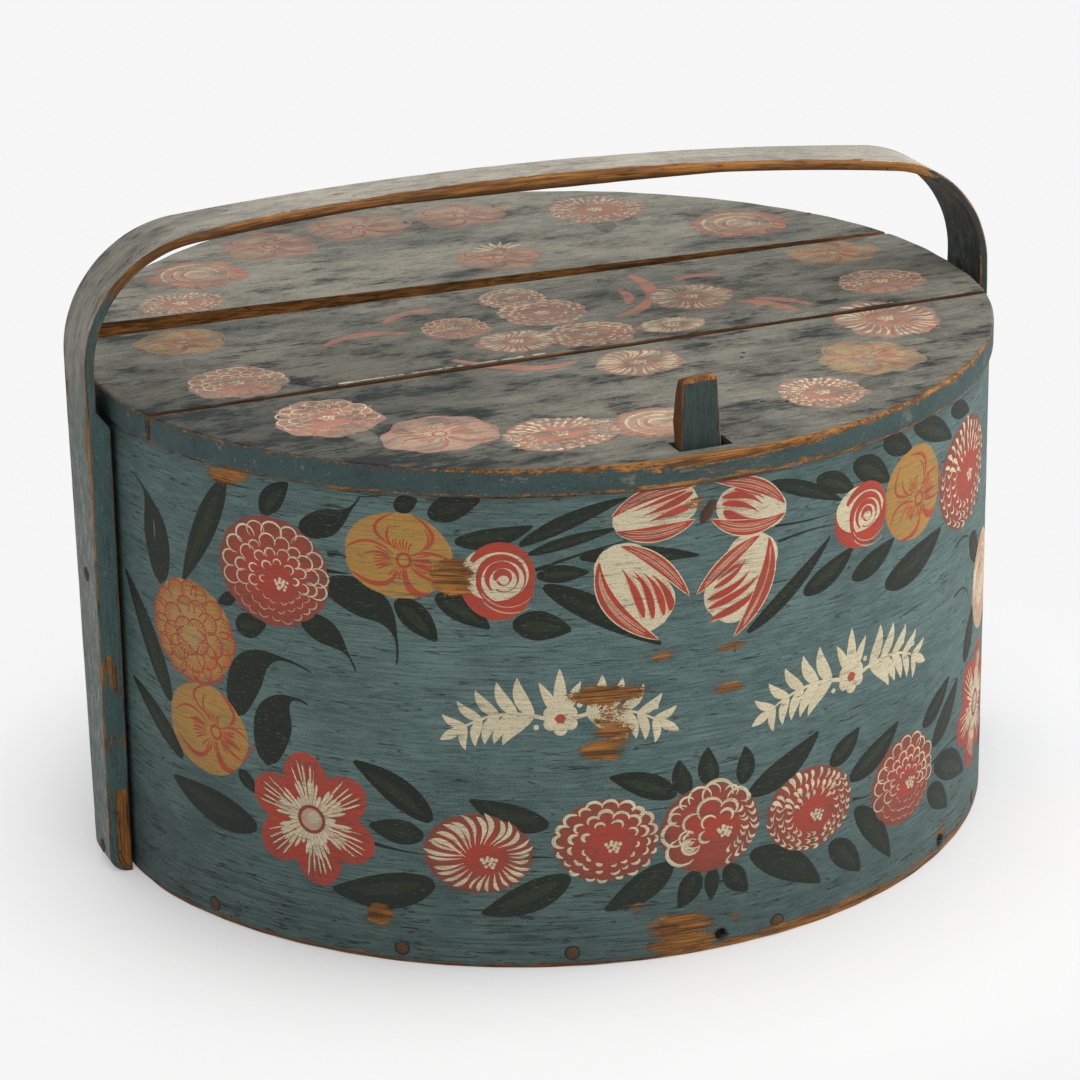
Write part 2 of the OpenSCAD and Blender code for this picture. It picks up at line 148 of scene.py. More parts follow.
class BoxColours(bpy.types.PropertyGroup):
    """Colours of the wood, the ground paint and the ornament."""
    wall: colour("Wall", "Slate blue of the side band", 98, 121, 117)
    wall_dark: colour("Wall shade", "Darker patches of the side band", 56, 77, 76)
    lid: colour("Lid", "Worn grey of the lid", 150, 145, 130)
    lid_dark: colour("Lid shade", "Grimy patches of the lid", 72, 77, 72)
    handle: colour("Handle", "Weathered grey of the handle", 202, 193, 177)
    handle_dark: colour("Handle shade", "Slate paint left on the handle", 122, 121, 111)
    latch: colour("Latch", "Slate blue of the tongue", 62, 78, 72)
    latch_dark: colour("Latch shade", "Darker patches of the tongue", 36, 46, 44)
    raw: colour("Raw wood", "Wood bared by wear", 174, 116, 54)
    raw_dark: colour("Raw wood grain", "Darker grain of the bared wood", 88, 56, 26)
    old: colour("Old wood", "Bare inner wood", 150, 112, 70)
    old_dark: colour("Old wood grain", "Darker grain of the bare inner wood", 98, 66, 36)
    # Grime is also the colour that painted shade darkens the paint towards, and the colour of the painted
    # shade in the lid's holes and round the pegs.
    grime: colour("Grime", "Dirt in the grain", 32, 39, 37)
    leaf: colour("Leaf", "Dark green leaves", 29, 34, 23)
    red: colour("Red", "Bright red of the petals", 171, 61, 42)
    rose: colour("Rose", "Brownish red ground of the dahlias", 132, 66, 51)
    ochre: colour("Ochre", "Yellow ochre of the pansies", 168, 132, 62)
    cream: colour("Cream", "Cream white strokes", 205, 192, 160)
    iron: colour("Iron", "Rusty iron", 70, 44, 32)
    root: colour("Root", "Split root of the sewing", 142, 104, 62)
    peg: colour("Peg", "End grain of the pegs", 64, 53, 38)
    floor: colour("Floor", "Plain pale floor", 246, 246, 246)


def linear(shown, cover=1.0):
    """Scene-linear colour of a colour on a screen, with its cover as the fourth number."""
    value = np.array(shown[:3], float)
    high = ((value + 0.055) / 1.055) ** 2.4
    return np.append(np.where(value <= 0.04045, value / 12.92, high), cover)


def ramp(value, low, high):
    """Straight step from 0 at low to 1 at high."""
    return np.clip((value - low) / (high - low), 0, 1)


def smooth(value, low, high):
    """Smooth step from 0 at low to 1 at high."""
    share = ramp(value, low, high)
    return share * share * (3 - 2 * share)


def bell(value, middle, width):
    """Bell curve of a width round a middle."""
    return np.exp(-((value - middle) / width) ** 2)


def ripple(along, waves, seed):
    """Sum of sines of set wavelengths with seeded phases, from -1 to 1."""
    phases = np.random.default_rng(seed).uniform(0, 2 * math.pi, len(waves))
    turns = 2 * math.pi * np.asarray(along)[..., None] / np.array(waves) + phases
    return np.sin(turns).mean(axis=-1)


def unit(turn):
    """Points on the unit circle at the given angles."""
    return np.stack([np.cos(turn), np.sin(turn)], axis=-1)


def ways(points):
    """Way along a line to each of its points, from the first one."""
    return np.concatenate([[0.0], np.cumsum(np.linalg.norm(np.diff(points, axis=0), axis=1))])


class Oval:
    """The box's outline: a circle of the half length, flattened in front and behind by two wider arcs."""

    def __init__(self, sizes):
        self.sizes = sizes
        self.end_r = sizes.half_length
        inward = sizes.half_depth - self.end_r * math.sin(sizes.join)
        self.side_r = ((self.end_r * math.cos(sizes.join)) ** 2 + inward ** 2) / (2 * inward)
        self.side_c = self.side_r - sizes.half_depth
        self.turns = np.linspace(-2.5 * math.pi, 3.5 * math.pi, 24001)
        way = ways(self.at(self.turns))
        self.way = way - np.interp(-math.pi / 2, self.turns, way)
        self.girth = float(np.interp(1.5 * math.pi, self.turns, self.way))

    def at(self, turn, grow=0.0):
        """Point of the outline in polar direction turn, moved out by grow."""
        reach = self.side_r + grow
        flat = np.sqrt(reach ** 2 - (self.side_c * np.cos(turn)) ** 2) - self.side_c * np.abs(np.sin(turn))
        return np.minimum(self.end_r + grow, flat)[..., None] * unit(turn)

    def along(self, turn):
        """Way along the wall to a direction, to the right from the middle of the front."""
        return float(np.interp(turn, self.turns, self.way))

    def wall(self, u, v, lift):
        """Point on the wall at way u and height v, standing off by lift."""
        flat = self.at(np.interp(u, self.way, self.turns), lift)
        height = np.broadcast_to(v, flat.shape[:-1])
        return np.concatenate([flat, height[..., None]], axis=-1)

    def lap_start(self):
        """Way along the wall of the band's outer end, which lies on the rear arc."""
        end = self.sizes.lap_end
        y = self.side_r * math.sin(end) - self.side_c
        return self.along(math.atan2(y, self.side_r * math.cos(end)))


class Socket:
    """A node socket that takes part in Python expressions, each of which adds a Math node."""

    def __init__(self, tree, link=None):
        self.tree = tree
        self.link = link

    def node(self, kind, settings=None, inputs=None, out=0):
        """Adds a node of a type with its settings, then the values or links of its sockets."""
        made = self.tree.nodes.new("ShaderNode" + kind)
        for name, value in (settings or {}).items():
            setattr(made, name, value)
        for name, value in (inputs or {}).items():
            if isinstance(value, Socket):
                self.tree.links.new(value.link, made.inputs[name])
            else:
                made.inputs[name].default_value = value
        return Socket(self.tree, made.outputs[out] if made.outputs else None)

    def math(self, operation, first, second):
        """A Math node on two values."""
        return self.node("Math", {"operation": operation}, {0: first, 1: second})

    def __add__(self, other):
        return self.math("ADD", self, other)

    __radd__ = __add__

    def __sub__(self, other):
        return self.math("SUBTRACT", self, other)

    def __rsub__(self, other):
        return self.math("SUBTRACT", other, self)

    def __mul__(self, other):
        return self.math("MULTIPLY", self, other)

    __rmul__ = __mul__

    def step(self, low, high):
        """Smooth step from 0 at low to 1 at high."""
        sockets = {"Value": self, "From Min": low, "From Max": high}
        return self.node("MapRange", {"interpolation_type": "SMOOTHSTEP"}, sockets)

    def mix(self, first, second):
        """Colour between two, with this value as the factor."""
        return self.node("Mix", {"data_type": "RGBA"}, {0: self, 6: first, 7: second}, 2)

    def ridge(self, width):
        """Thin lines where this value crosses the middle of its range."""
        away = self.node("Math", {"operation": "ABSOLUTE"}, {0: self - 0.5})
        return 1 - away.step(0.0, width)

    def stretch(self, along, across):
        """This place scaled by one frequency along the grain and another across it."""
        return self.node("VectorMath", {"operation": "MULTIPLY"}, {0: self, 1: (along, across, across)})

    def noise(self, scale, detail, rough=0.5):
        """Fractal noise over this place."""
        sockets = {"Vector": self, "Scale": scale, "Detail": detail, "Roughness": rough}
        return self.node("TexNoise", None, sockets)

    def attribute(self, name, out=0):
        """A field of the mesh, as a colour, a vector or a value."""
        return self.node("Attribute", {"attribute_name": name}, None, out)

    def place(self):
        """Places in the object's own frame."""
        return self.node("TexCoord", None, None, 3)


def open_material(name):
    """A new material with an empty node tree, and a first socket to build from."""
    material = bpy.data.materials.new(name)
    material.use_nodes = True
    material.node_tree.nodes.clear()
    return material, Socket(material.node_tree)


def close_material(start, base, rough, height, bump, specular=0.4):
    """Ends a material in a Principled shader with a bump from the height."""
    normal = start.node("Bump", None, {"Strength": 1.0, "Distance": bump, "Height": height})
    sockets = {"Base Color": base, "Roughness": rough, "Normal": normal, "Specular IOR Level": specular}
    shader = start.node("BsdfPrincipled", None, sockets)
    start.node("OutputMaterial", None, {"Surface": shader})


def wood_colour(place, light, dark):
    """Wood from growth lines stretched along the grain, with finer pores."""
    rings = place.stretch(12, 300).noise(1.0, 3, 0.6)
    pores = place.stretch(45, 1700).noise(1.0, 2)
    shade = (rings * 0.8 + pores * 0.7).step(0.55, 0.92)
    return shade.mix(linear(light), linear(dark)), rings * 0.6 + pores * 0.4


def old_paint(name, light, dark, palette, grime, hold, crack, fade=0.0, follow=True):
    """Old matt paint over wood: streaky ground, grain lines, ornament, grime, painted shade, and bare worn
    wood.
    """
    material, start = open_material(name)
    if follow:
        place = start.attribute("surface", 1)
        smear = place.stretch(34, 90)
    else:
        place = start.place()
        smear = place.stretch(24, 46)
    wear = start.attribute("wear", 2)
    # Grime and painted shade that the mesh carries.
    grime_and_shade = start.attribute("grime_and_shade", 2)
    ornament = start.attribute("paint")
    cover = start.attribute("cover", 2)
    masked = cover.step(0.0, 1.0)
    mottle = place.stretch(60, 230).noise(1.0, 5, 0.65)
    cloud = place.stretch(10, 17).noise(1.0, 3)
    streak = place.stretch(70, 1400).noise(1.0, 3, 0.6)
    speckle = place.noise(1300, 2, 0.6)
    cracks = place.stretch(34, 400).noise(1.0, 2, 0.55).ridge(0.034)
    veins = place.stretch(11, 430).noise(1.0, 2, 0.5).ridge(0.055)
    lines = cracks * mottle.step(0.44, 0.62) + veins * cloud.step(0.44, 0.60) * 0.45
    tone = mottle * 0.60 + streak * 0.70 + speckle * 0.80 + cloud * 0.50
    ground = tone.step(1.07, 1.45).mix(linear(dark), linear(light))
    flake = place.stretch(330, 1300).noise(1.0, 3, 0.7)
    faded = smear.noise(3.4, 5, 0.65).step(0.42, 0.70) * fade
    held = cover * (1 - lines * 0.30) * (1 - flake.step(hold, hold + 0.10) * 0.7) * (1 - faded)
    painted = held.mix(ground, ornament)
    ragged = smear.noise(1.0, 6, 0.72) + (mottle - 0.5) * 0.45 + (streak - 0.5) * 0.35
    smudge = ragged.step(0.44, 0.72) * grime * (1 - masked * 0.65)
    spots = (speckle - 0.46) * 1.0 + (streak - 0.5) * 0.35
    patchy = (1 - (mottle * 0.6 + cloud * 0.6).step(0.42, 0.72)) * masked * 0.12
    # Grime and painted shade from the mesh, smudges, cracks and specks darken the paint towards the grime
    # colour.
    dirt_and_shade = grime_and_shade + smudge + patchy + lines * crack * (1 - masked * 0.55) + spots
    dirtied_and_shaded = dirt_and_shade.node("Clamp", None, {"Value": dirt_and_shade}).mix(painted, linear(palette.grime))
    wood, ribs = wood_colour(place, palette.raw, palette.raw_dark)
    edge = place.stretch(75, 300).noise(1.0, 5, 0.72)
    bare = (wear + (edge - 0.5) * 1.7 + (speckle - 0.5) * 0.8).step(0.44, 0.60)
    # Bare wood darkens with the same grime and painted shade, mottled and along the grain lines.
    grimed_and_shaded = (grime_and_shade * 1.1 + (mottle - 0.45) * 1.1 + lines * 0.6).step(0.0, 0.75)
    grimed_shaded_wood = linear(palette.raw_dark) * np.array([0.45, 0.45, 0.5, 1])
    base = bare.mix(dirtied_and_shaded, (grimed_and_shaded * 0.78).mix(wood, grimed_shaded_wood))
    rough = 0.58 + bare * 0.10 + speckle * 0.14
    height = (1 - bare) * 0.5 - lines * 0.4 + speckle * 0.25 + ribs * 0.3 + streak * 0.3
    close_material(start, base, rough, height, 0.35 * MM, 0.26)
    return material


def bare_wood(name, light, dark):
    """Old bare wood with its grain along X."""
    material, start = open_material(name)
    place = start.place()
    wood, ribs = wood_colour(place, light, dark)
    stain = place.noise(22, 4).step(0.45, 0.75) * 0.45
    base = stain.mix(wood, linear(dark) * np.array([0.5, 0.5, 0.5, 1]))
    close_material(start, base, 0.62 + ribs * 0.2, ribs, 0.3 * MM, 0.3)
    return material


def peg_wood(name, light, dark):
    """Dark end grain of whittled pegs, speckled with pores."""
    material, start = open_material(name)
    place = start.place()
    pores = place.noise(1800, 2)
    shade = (place.noise(260, 4, 0.65) * 0.7 + pores * 0.4).step(0.35, 0.72)
    base = shade.mix(linear(light), linear(dark))
    close_material(start, base, 0.6 + pores * 0.2, pores, 0.25 * MM, 0.3)
    return material


def rusty_iron(name, palette):
    """Forged iron under brown rust."""
    material, start = open_material(name)
    place = start.place()
    scale = place.noise(420, 5, 0.7)
    bare = scale.step(0.55, 0.72)
    base = bare.mix(linear(palette.iron), linear(palette.grime))
    close_material(start, base, 0.75 - bare * 0.2, scale, 0.3 * MM, 0.4)
    return material


def add_piece(name, body, material, points, faces, fields):
    """A new object on a body from points, faces and fields, with doubled points welded."""
    mesh = bpy.data.meshes.new(name)
    points = np.ascontiguousarray(points.reshape(-1, 3), np.float32)
    faces = np.ascontiguousarray(faces.reshape(-1, 4), np.int32)
    mesh.vertices.add(len(points))
    mesh.vertices.foreach_set("co", points.ravel())
    mesh.loops.add(faces.size)
    mesh.loops.foreach_set("vertex_index", faces.ravel())
    mesh.polygons.add(len(faces))
    mesh.polygons.foreach_set("loop_start", np.arange(len(faces), dtype=np.int32) * 4)
    mesh.update(calc_edges=True)
    kinds = {"surface": ("FLOAT_VECTOR", "vector"), "paint": ("FLOAT_COLOR", "color")}
    for field, values in fields.items():
        kind, key = kinds.get(field, ("FLOAT", "value"))
        layer = mesh.attributes.new(field, kind, "POINT")
        layer.data.foreach_set(key, np.ascontiguousarray(values, np.float32).ravel())
    work = bmesh.new()
    work.from_mesh(mesh)
    bmesh.ops.remove_doubles(work, verts=work.verts, dist=0.001 * MM)
    work.to_mesh(mesh)
    work.free()
    mesh.shade_smooth()
    mesh.set_sharp_from_angle(angle=math.radians(50))
    mesh.materials.append(material)
    made = bpy.data.objects.new(name, mesh)
    bpy.context.scene.collection.objects.link(made)
    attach(made, body)
    return made


def grid_faces(rows, columns, around_rows=False):
    """Faces of a grid of points, closed round its columns and, if asked, its rows."""
    index = np.arange(rows * columns).reshape(rows, columns)
    if around_rows:
        index = np.concatenate([index, index[:1]])
    index = np.concatenate([index, index[:, :1]], axis=1)
    return np.stack([index[:-1, :-1], index[1:, :-1], index[1:, 1:], index[:-1, 1:]], axis=-1)


def end_rows(field):
    """A field with its first and last rows doubled, for a strap's closed ends."""
    return np.concatenate([field[:1], field, field[-1:]])


def close_ends(points):
    """Rows of points with each end closed by a row in the middle of its last one."""
    ends = points[[0, -1]].mean(axis=1, keepdims=True)
    ends = np.broadcast_to(ends, points[[0, -1]].shape)
    return np.concatenate([ends[:1], points, ends[1:]])


# Worn places of the wall: way and height of the middle, half sizes in millimetres, and strength.
WORN = np.array([
    (-231, 224, 11, 4, 1), (-159, 22, 7, 5.5, 1), (-121, 190, 9, 9, 1.1), (-53, 133, 16, 4.5, 1.1),
    (-51, 117, 10, 12, 0.7), (-56, 106, 11, 5, 0.9), (-28, 150, 6, 3, 0.8), (5, 148, 8, 2.4, 0.8),
    (4, 130, 10, 3.2, 0.8), (-20, 15, 17, 6.5, 0.92), (-18, 6, 19, 6, 0.85), (7, 14, 4, 3.5, 0.7),
    (-12, 219, 6, 3, 0.7), (-40, 27, 5, 3, 0.7), (60, 3, 60, 3, 0.75), (150, 10, 6, 4, 0.7),
    (330, 190, 9, 16, 0.8), (420, 30, 26, 8, 0.9), (500, 12, 30, 6, 0.9), (-420, 20, 34, 7, 0.9),
    (-520, 200, 20, 5, 0.8), (-560, 60, 12, 20, 0.7), (600, 205, 30, 4, 0.8), (640, 90, 14, 8, 0.7),
])


def wall_wear(u, v, sizes):
    """How worn the wall is: soft oval patches, and the rubbed lower and upper rims."""
    place = np.stack(np.broadcast_arrays(u, v), axis=-1)[..., None, :] / MM
    away = ((place - WORN[:, :2]) / WORN[:, 2:4]) ** 2
    patches = (WORN[:, 4] * np.exp(-0.7 * away.sum(axis=-1) ** 1.5)).max(axis=-1)
    rubbed = smooth(u, -0.03, 0.02) * (1 - smooth(u, 0.17, 0.24))
    foot_width = (2.6 + 3.0 * rubbed) * MM
    head_width = 1.6 * MM
    uneven = 0.85 + 0.25 * ripple(u, (0.31, 0.083, 0.029), 3)
    foot = 1.15 * np.exp(-v / foot_width) * uneven
    head = 0.75 * np.exp(-(sizes.band_height - v) / head_width)
    return np.maximum(np.maximum(patches, foot), head)


def wall_painted_shade(u, v):
    """How much painted shade darkens the wall: most at its foot, some towards the left, and some just below
    the lid.
    """
    foot = 0.34 * (1 - smooth(v, -0.01, 0.12))
    left = 0.15 * smooth(-u, 0.20, 0.34)
    return foot + left + 0.10 * smooth(v, 0.200, 0.229)


def wear_soot(wear, v):
    """Dirt on worn places, less of it towards the rubbed foot."""
    return np.minimum(wear, 1) * (0.22 * smooth(v, 0.004, 0.03) - 0.10)


# Directions of the bottom pegs, and of the two holes whose pegs are lost, in degrees.
PEG_TURNS = (-157, -130, -109, -82, -36, 25, 50, 75, 98, 122, 150)
LOST_TURNS = (-90, -50)


def wall_relief(u, v, oval):
    """Dents of the wall: the two empty peg holes, and shallow hollows where wood is worn away."""
    sizes = oval.sizes
    hole_depth, worn_depth = 5.2 * MM, 0.25 * MM
    dent = np.zeros(np.broadcast(u, v).shape)
    for turn in LOST_TURNS:
        away = np.hypot(u - oval.along(math.radians(turn)), v - sizes.peg_height)
        dent = dent - hole_depth * (1 - smooth(away, sizes.peg_radius * 0.88, sizes.peg_radius * 1.08))
    return dent - worn_depth * smooth(wall_wear(u, v, sizes), 0.5, 1.0)


def lap_offsets(way, oval):
    """How far the outer end stands out and the inner one in, at a way past the outer end."""
    sizes = oval.sizes
    turn = way / oval.side_r
    sink = 0.2 * MM
    full = (sizes.lap_rise + sink) / (1 - math.cos(sizes.lap))
    over = turn <= sizes.lap
    outer = np.where(over, full * (1 - np.cos(sizes.lap - turn)) - sink, 0)
    inner = np.where(over, full * (1 - np.cos(turn)) - sink, 0)
    return np.maximum(outer, 0), np.maximum(inner, 0)


def build_side_band(sizes, material):
    """Side band: a closed section with rounded rims, carried round the oval from the lap's outer end."""
    oval = Oval(sizes)
    start = oval.lap_start()
    lap_way = sizes.lap * oval.side_r
    step_width = 0.25 * MM
    columns, rows = 520, 57
    hole_grid = np.linspace(-4.2, 4.2, 22) * MM
    holes = [(oval.along(math.radians(turn)) - start) % oval.girth + hole_grid for turn in LOST_TURNS]
    steps = np.array([lap_way, lap_way + step_width, oval.girth - step_width])
    even = np.linspace(0, oval.girth, columns, endpoint=False)
    way = np.unique(np.concatenate([even, steps, *holes]))
    u = start + way
    outer, inner = lap_offsets(way, oval)
    levels = np.linspace(2, rows - 1, rows - 2) * sizes.band_height / rows
    climb = np.unique(np.concatenate([levels, sizes.peg_height + hole_grid]))
    arc = np.radians(np.array([-90.0, -60, -30, 0]))
    rim = np.maximum(0.7 + 0.7 * ripple(u, (0.21, 0.067, 0.023), 5), 0.25) * MM
    low_in, low_up = 1 - np.cos(arc), 1 + np.sin(arc)
    flat = np.zeros(len(climb))
    drop = np.concatenate([low_in, flat, low_in[::-1]])
    rise = np.concatenate([low_up, flat, -low_up[::-1]])
    base = np.concatenate([np.zeros(len(arc)), climb, np.full(len(arc), sizes.band_height)])
    face_z = base[None] + rim[:, None] * rise[None]
    turned = (u + math.pi * oval.end_r) % oval.girth - math.pi * oval.end_r
    out_off = outer[:, None] - rim[:, None] * drop[None] + wall_relief(turned[:, None], face_z, oval)
    in_off = -sizes.band_wall - inner[:, None] + rim[:, None] * drop[None]
    offset = np.concatenate([out_off, in_off[:, ::-1]], axis=1)
    height = np.concatenate([face_z, face_z[:, ::-1]], axis=1)
    points = oval.wall(np.broadcast_to(u[:, None], height.shape), height, offset)
    lap_edge = 0.9 * np.exp(-way / (1.5 * MM))[:, None]
    wear = np.maximum(wall_wear(turned[:, None], face_z, sizes), lap_edge)
    wear = np.concatenate([wear, np.full(face_z.shape, 1.3)], axis=1)
    depth = np.concatenate([np.zeros(face_z.shape), np.full(face_z.shape, 0.1)], axis=1)
    surface = np.stack([np.broadcast_to(turned[:, None], height.shape), height, depth], axis=-1)
    # Painted shade of the wall, with grime on worn places.
    grime_and_shade = wall_painted_shade(surface[..., 0], height) + wear_soot(wear, height)
    made = add_piece("sewn_side_band", "box", material, points,
                     grid_faces(*height.shape, around_rows=True),
                     {"surface": surface, "wear": wear, "grime_and_shade": grime_and_shade})
    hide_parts("side_band")


def clip(points, normal, offset):
    """Part of a convex outline on the near side of a line, from one crossing to the other."""
    away = points @ np.array(normal) - offset
    inside = away <= 0
    first = int(np.argmax(inside & ~np.roll(inside, 1)))
    points, away = np.roll(points, -first, axis=0), np.roll(away, -first)
    count = int(inside.sum())
    last, after = count - 1, count % len(points)
    enter = points[-1] + (points[0] - points[-1]) * (away[-1] / (away[-1] - away[0]))
    leave = points[last] + (points[after] - points[last]) * (away[last] / (away[last] - away[after]))
    return np.concatenate([[enter], points[:count], [leave]])


def edge_line(sizes, left, right):
    """Normal and offset of a board's edge, from a depth at the left end to one at the right."""
    slope = (right - left) / (2 * sizes.half_length)
    return np.array([-slope, 1.0]), (left + right) / 2


def even_outline(points, corners, spacing):
    """An outline's points at even spacing, with its corners kept."""
    closed = np.concatenate([points, points[:1]])
    way = ways(closed)
    at = [way[np.argmin(np.linalg.norm(points - corner, axis=1))] for corner in corners]
    spread = np.arange(0, way[-1], spacing)
    clear = np.abs(spread[:, None] - np.array(at)).min(axis=1) > 0.3 * spacing
    keep = np.sort(np.concatenate([spread[clear], at]))
    return np.stack([np.interp(keep, way, closed[:, 0]), np.interp(keep, way, closed[:, 1])], axis=-1)


def board_outline(sizes, oval, front, rear):
    """Outline of a lid board: the oval with its overhang, cut by the board's front and rear edges."""
    points = oval.at(np.linspace(-math.pi, math.pi, 1440, endpoint=False), sizes.lid_over)
    corners = []
    for edge, sign in ((front, -1), (rear, 1)):
        if edge is not None:
            normal, offset = edge
            points = clip(points, sign * normal, sign * offset)
            corners += [points[0], points[-1]]
    return even_outline(points, corners, 2.2 * MM), np.array(corners)


def slot_edge(sizes, outline):
    """Points of the slot's rim, on the way from the slot's middle to each point of the outline."""
    back = -(sizes.half_depth - sizes.band_wall)
    low = np.array([sizes.tongue_place - sizes.tongue_width / 2 - sizes.slot_left,
                    back + sizes.tongue_stand - sizes.slot_front])
    high = np.array([sizes.tongue_place + sizes.tongue_width / 2 + sizes.slot_right,
                     back + sizes.tongue_stand + sizes.tongue_wall + sizes.tongue_nose + sizes.slot_back])
    middle, half = (low + high) / 2, (high - low) / 2
    way = outline - middle
    return middle + way / np.maximum(np.abs(way) / half, 1e-9).max(axis=1)[:, None]


def rim_width(place):
    """How wide the lid's worn rim is: broad along the front, narrow to the left."""
    front = smooth(-place[:, 1], 0.10, 0.19)
    return (0.35 + 3.4 * front * smooth(place[:, 0], -0.15, -0.02)) * MM


def lid_fields(sizes, palette, outline, points, inset, round_top, on_rim):
    """A lid board's fields: bare rims and gaps, slate paint on its side, grime on its top, and painted shade
    in the gaps.
    """
    x, y, height = outline[:, 0], outline[:, 1], points[..., 2]
    top, low = sizes.lid_top, sizes.lid_low
    edge, under = top - 0.2 * MM, low + 0.1 * MM
    above = np.exp(-np.maximum(inset - 0.35 * round_top, 0) / rim_width(outline)) * (height > edge)
    rubbed = smooth(-y, 0.0, 0.15) * smooth(x, -0.17, -0.04) * 0.55 + 0.70
    bare = np.where(on_rim, above * rubbed, above * 0.55)
    side = (height < edge) & (height > under)
    rims = bell(height, top, 2.2 * MM) + 0.8 * bell(height, low, 1.2 * MM)
    rims = rims * (1 - 0.4 * smooth(x, 0.12, 0.20))
    knocked = 0.32 * bell(x, 0.005, 0.055) * smooth(-y, 0.15, 0.19)
    rim_bare = 0.08 + knocked + 0.62 * rims * rubbed
    # In the front gap the faces are left less bare, so that their painted shade reads dark.
    bare = np.where(side, np.where(on_rim, rim_bare, np.where(y < 0, 0.70, 1.25)), bare)
    bare = np.where(height < under, 1.3, bare)
    slate = np.where(on_rim, 3 * smooth(top - height, 0.4 * MM, 1.4 * MM), 0.0)
    # Grime towards the front left of the top, and the rear made lighter.
    grime_and_shade = 0.58 * (1 - smooth(points[..., 0], -0.19, 0.02)) * smooth(-points[..., 1], -0.02, 0.08)
    grime_and_shade = grime_and_shade - 0.20 * smooth(points[..., 1], 0.04, 0.10)
    grime_and_shade = grime_and_shade * (1 - np.minimum(slate, 1)) + 0.01 * slate
    # Painted shade on the faces in the gaps between the boards, most in the narrow front gap.
    grime_and_shade = np.where(side & ~on_rim, np.where(y < 0, 0.55, 0.15), grime_and_shade)
    tint = np.broadcast_to(linear(palette.wall_dark), height.shape + (4,))
    return {"wear": bare, "paint": tint, "cover": slate, "grime_and_shade": grime_and_shade}


def build_lid_board(name, node, sizes, palette, material, front, rear, slotted, seed):
    """Lid board: rings from its middle or slot out over the rounded edge and back underneath."""
    oval = Oval(sizes)
    outline, corners = board_outline(sizes, oval, front, rear)
    if slotted:
        inner = slot_edge(sizes, outline)
    else:
        inner = np.broadcast_to(corners.mean(axis=0), outline.shape)
    reach = np.linalg.norm(outline - inner, axis=1)
    heading = (outline - inner) / reach[:, None]
    way = np.cumsum(np.linalg.norm(outline - np.roll(outline, 1, axis=0), axis=1))
    on_rim = np.linalg.norm(outline, axis=1) > np.linalg.norm(
        oval.at(np.arctan2(outline[:, 1], outline[:, 0]), sizes.lid_over), axis=1) - 0.02 * MM
    round_top = np.where(on_rim, 1.9, 1.1) * (1 + 0.35 * ripple(way, (0.17, 0.061, 0.024), seed)) * MM
    round_low = 0.8 * MM + 0 * round_top
    arc = np.radians(np.linspace(0, 90, 6))
    spread = 1 - (1 - np.linspace(0, 1, 16)[:-1]) ** 2.3
    top, low = sizes.lid_top, sizes.lid_low
    inset = [(reach - round_top) * (1 - share) + round_top for share in spread]
    height = [np.full(len(outline), top)] * len(spread)
    inset += [round_top * (1 - math.sin(turn)) for turn in arc]
    height += [top - round_top * (1 - math.cos(turn)) for turn in arc]
    for share in (0.3, 0.6, 0.85):
        inset.append(0 * reach)
        height.append(top - round_top + (low + round_low - top + round_top) * share)
    inset += [round_low * (1 - math.cos(turn)) for turn in arc[::2]]
    height += [low + round_low * (1 - math.sin(turn)) for turn in arc[::2]]
    inset += [reach * share for share in (0.08, 0.3, 0.65, 1.0)]
    height += [np.full(len(outline), low)] * 4
    inset, height = np.array(inset), np.array(height)
    if slotted:
        inset = np.concatenate([inset, inset[-1:], inset[:1]])
        height = np.concatenate([height, height[-1:] * 0.5 + height[:1] * 0.5, height[:1]])
    flat = outline[None] - heading[None] * inset[..., None]
    points = np.concatenate([flat, height[..., None]], axis=-1)
    fields = lid_fields(sizes, palette, outline, points, inset, round_top, on_rim)
    made = add_piece(name, "lid", material, points, grid_faces(*height.shape), fields)
    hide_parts(node)


def section_ring(steps):
    """A rounded rectangle as corner directions, side signs and depth shares."""
    arc = np.radians(np.linspace(0, 90, 5))
    share = np.linspace(0, 1, steps)[1:-1]
    zero, one = np.zeros_like(share), np.ones_like(share)
    corner = [(-np.cos(arc), -np.sin(arc), -1, 0), (np.sin(arc), -np.cos(arc), 1, 0),
              (np.cos(arc), np.sin(arc), 1, 1), (-np.sin(arc), np.cos(arc), -1, 1)]
    faces = [(zero, -one, 2 * share - 1, zero), (one, zero, one, share),
             (zero, one, 1 - 2 * share, one), (-one, zero, -one, 1 - share)]
    columns = []
    for (turn_w, turn_t, side, deep), face in zip(corner, faces):
        columns.append(np.stack([turn_w, turn_t, np.full(5, side), np.full(5, deep)]))
        columns.append(np.stack(face))
    return np.concatenate(columns, axis=1)


def section(half, wall, radius, steps):
    """Places across and through a strap: a rounded rectangle for each row."""
    turn_w, turn_t, side, deep = section_ring(steps)
    half, wall, radius = half[:, None], wall[:, None], radius[:, None]
    across = side * (half - radius) + turn_w * radius
    through = radius + deep * (wall - 2 * radius) + turn_t * radius
    return across, through


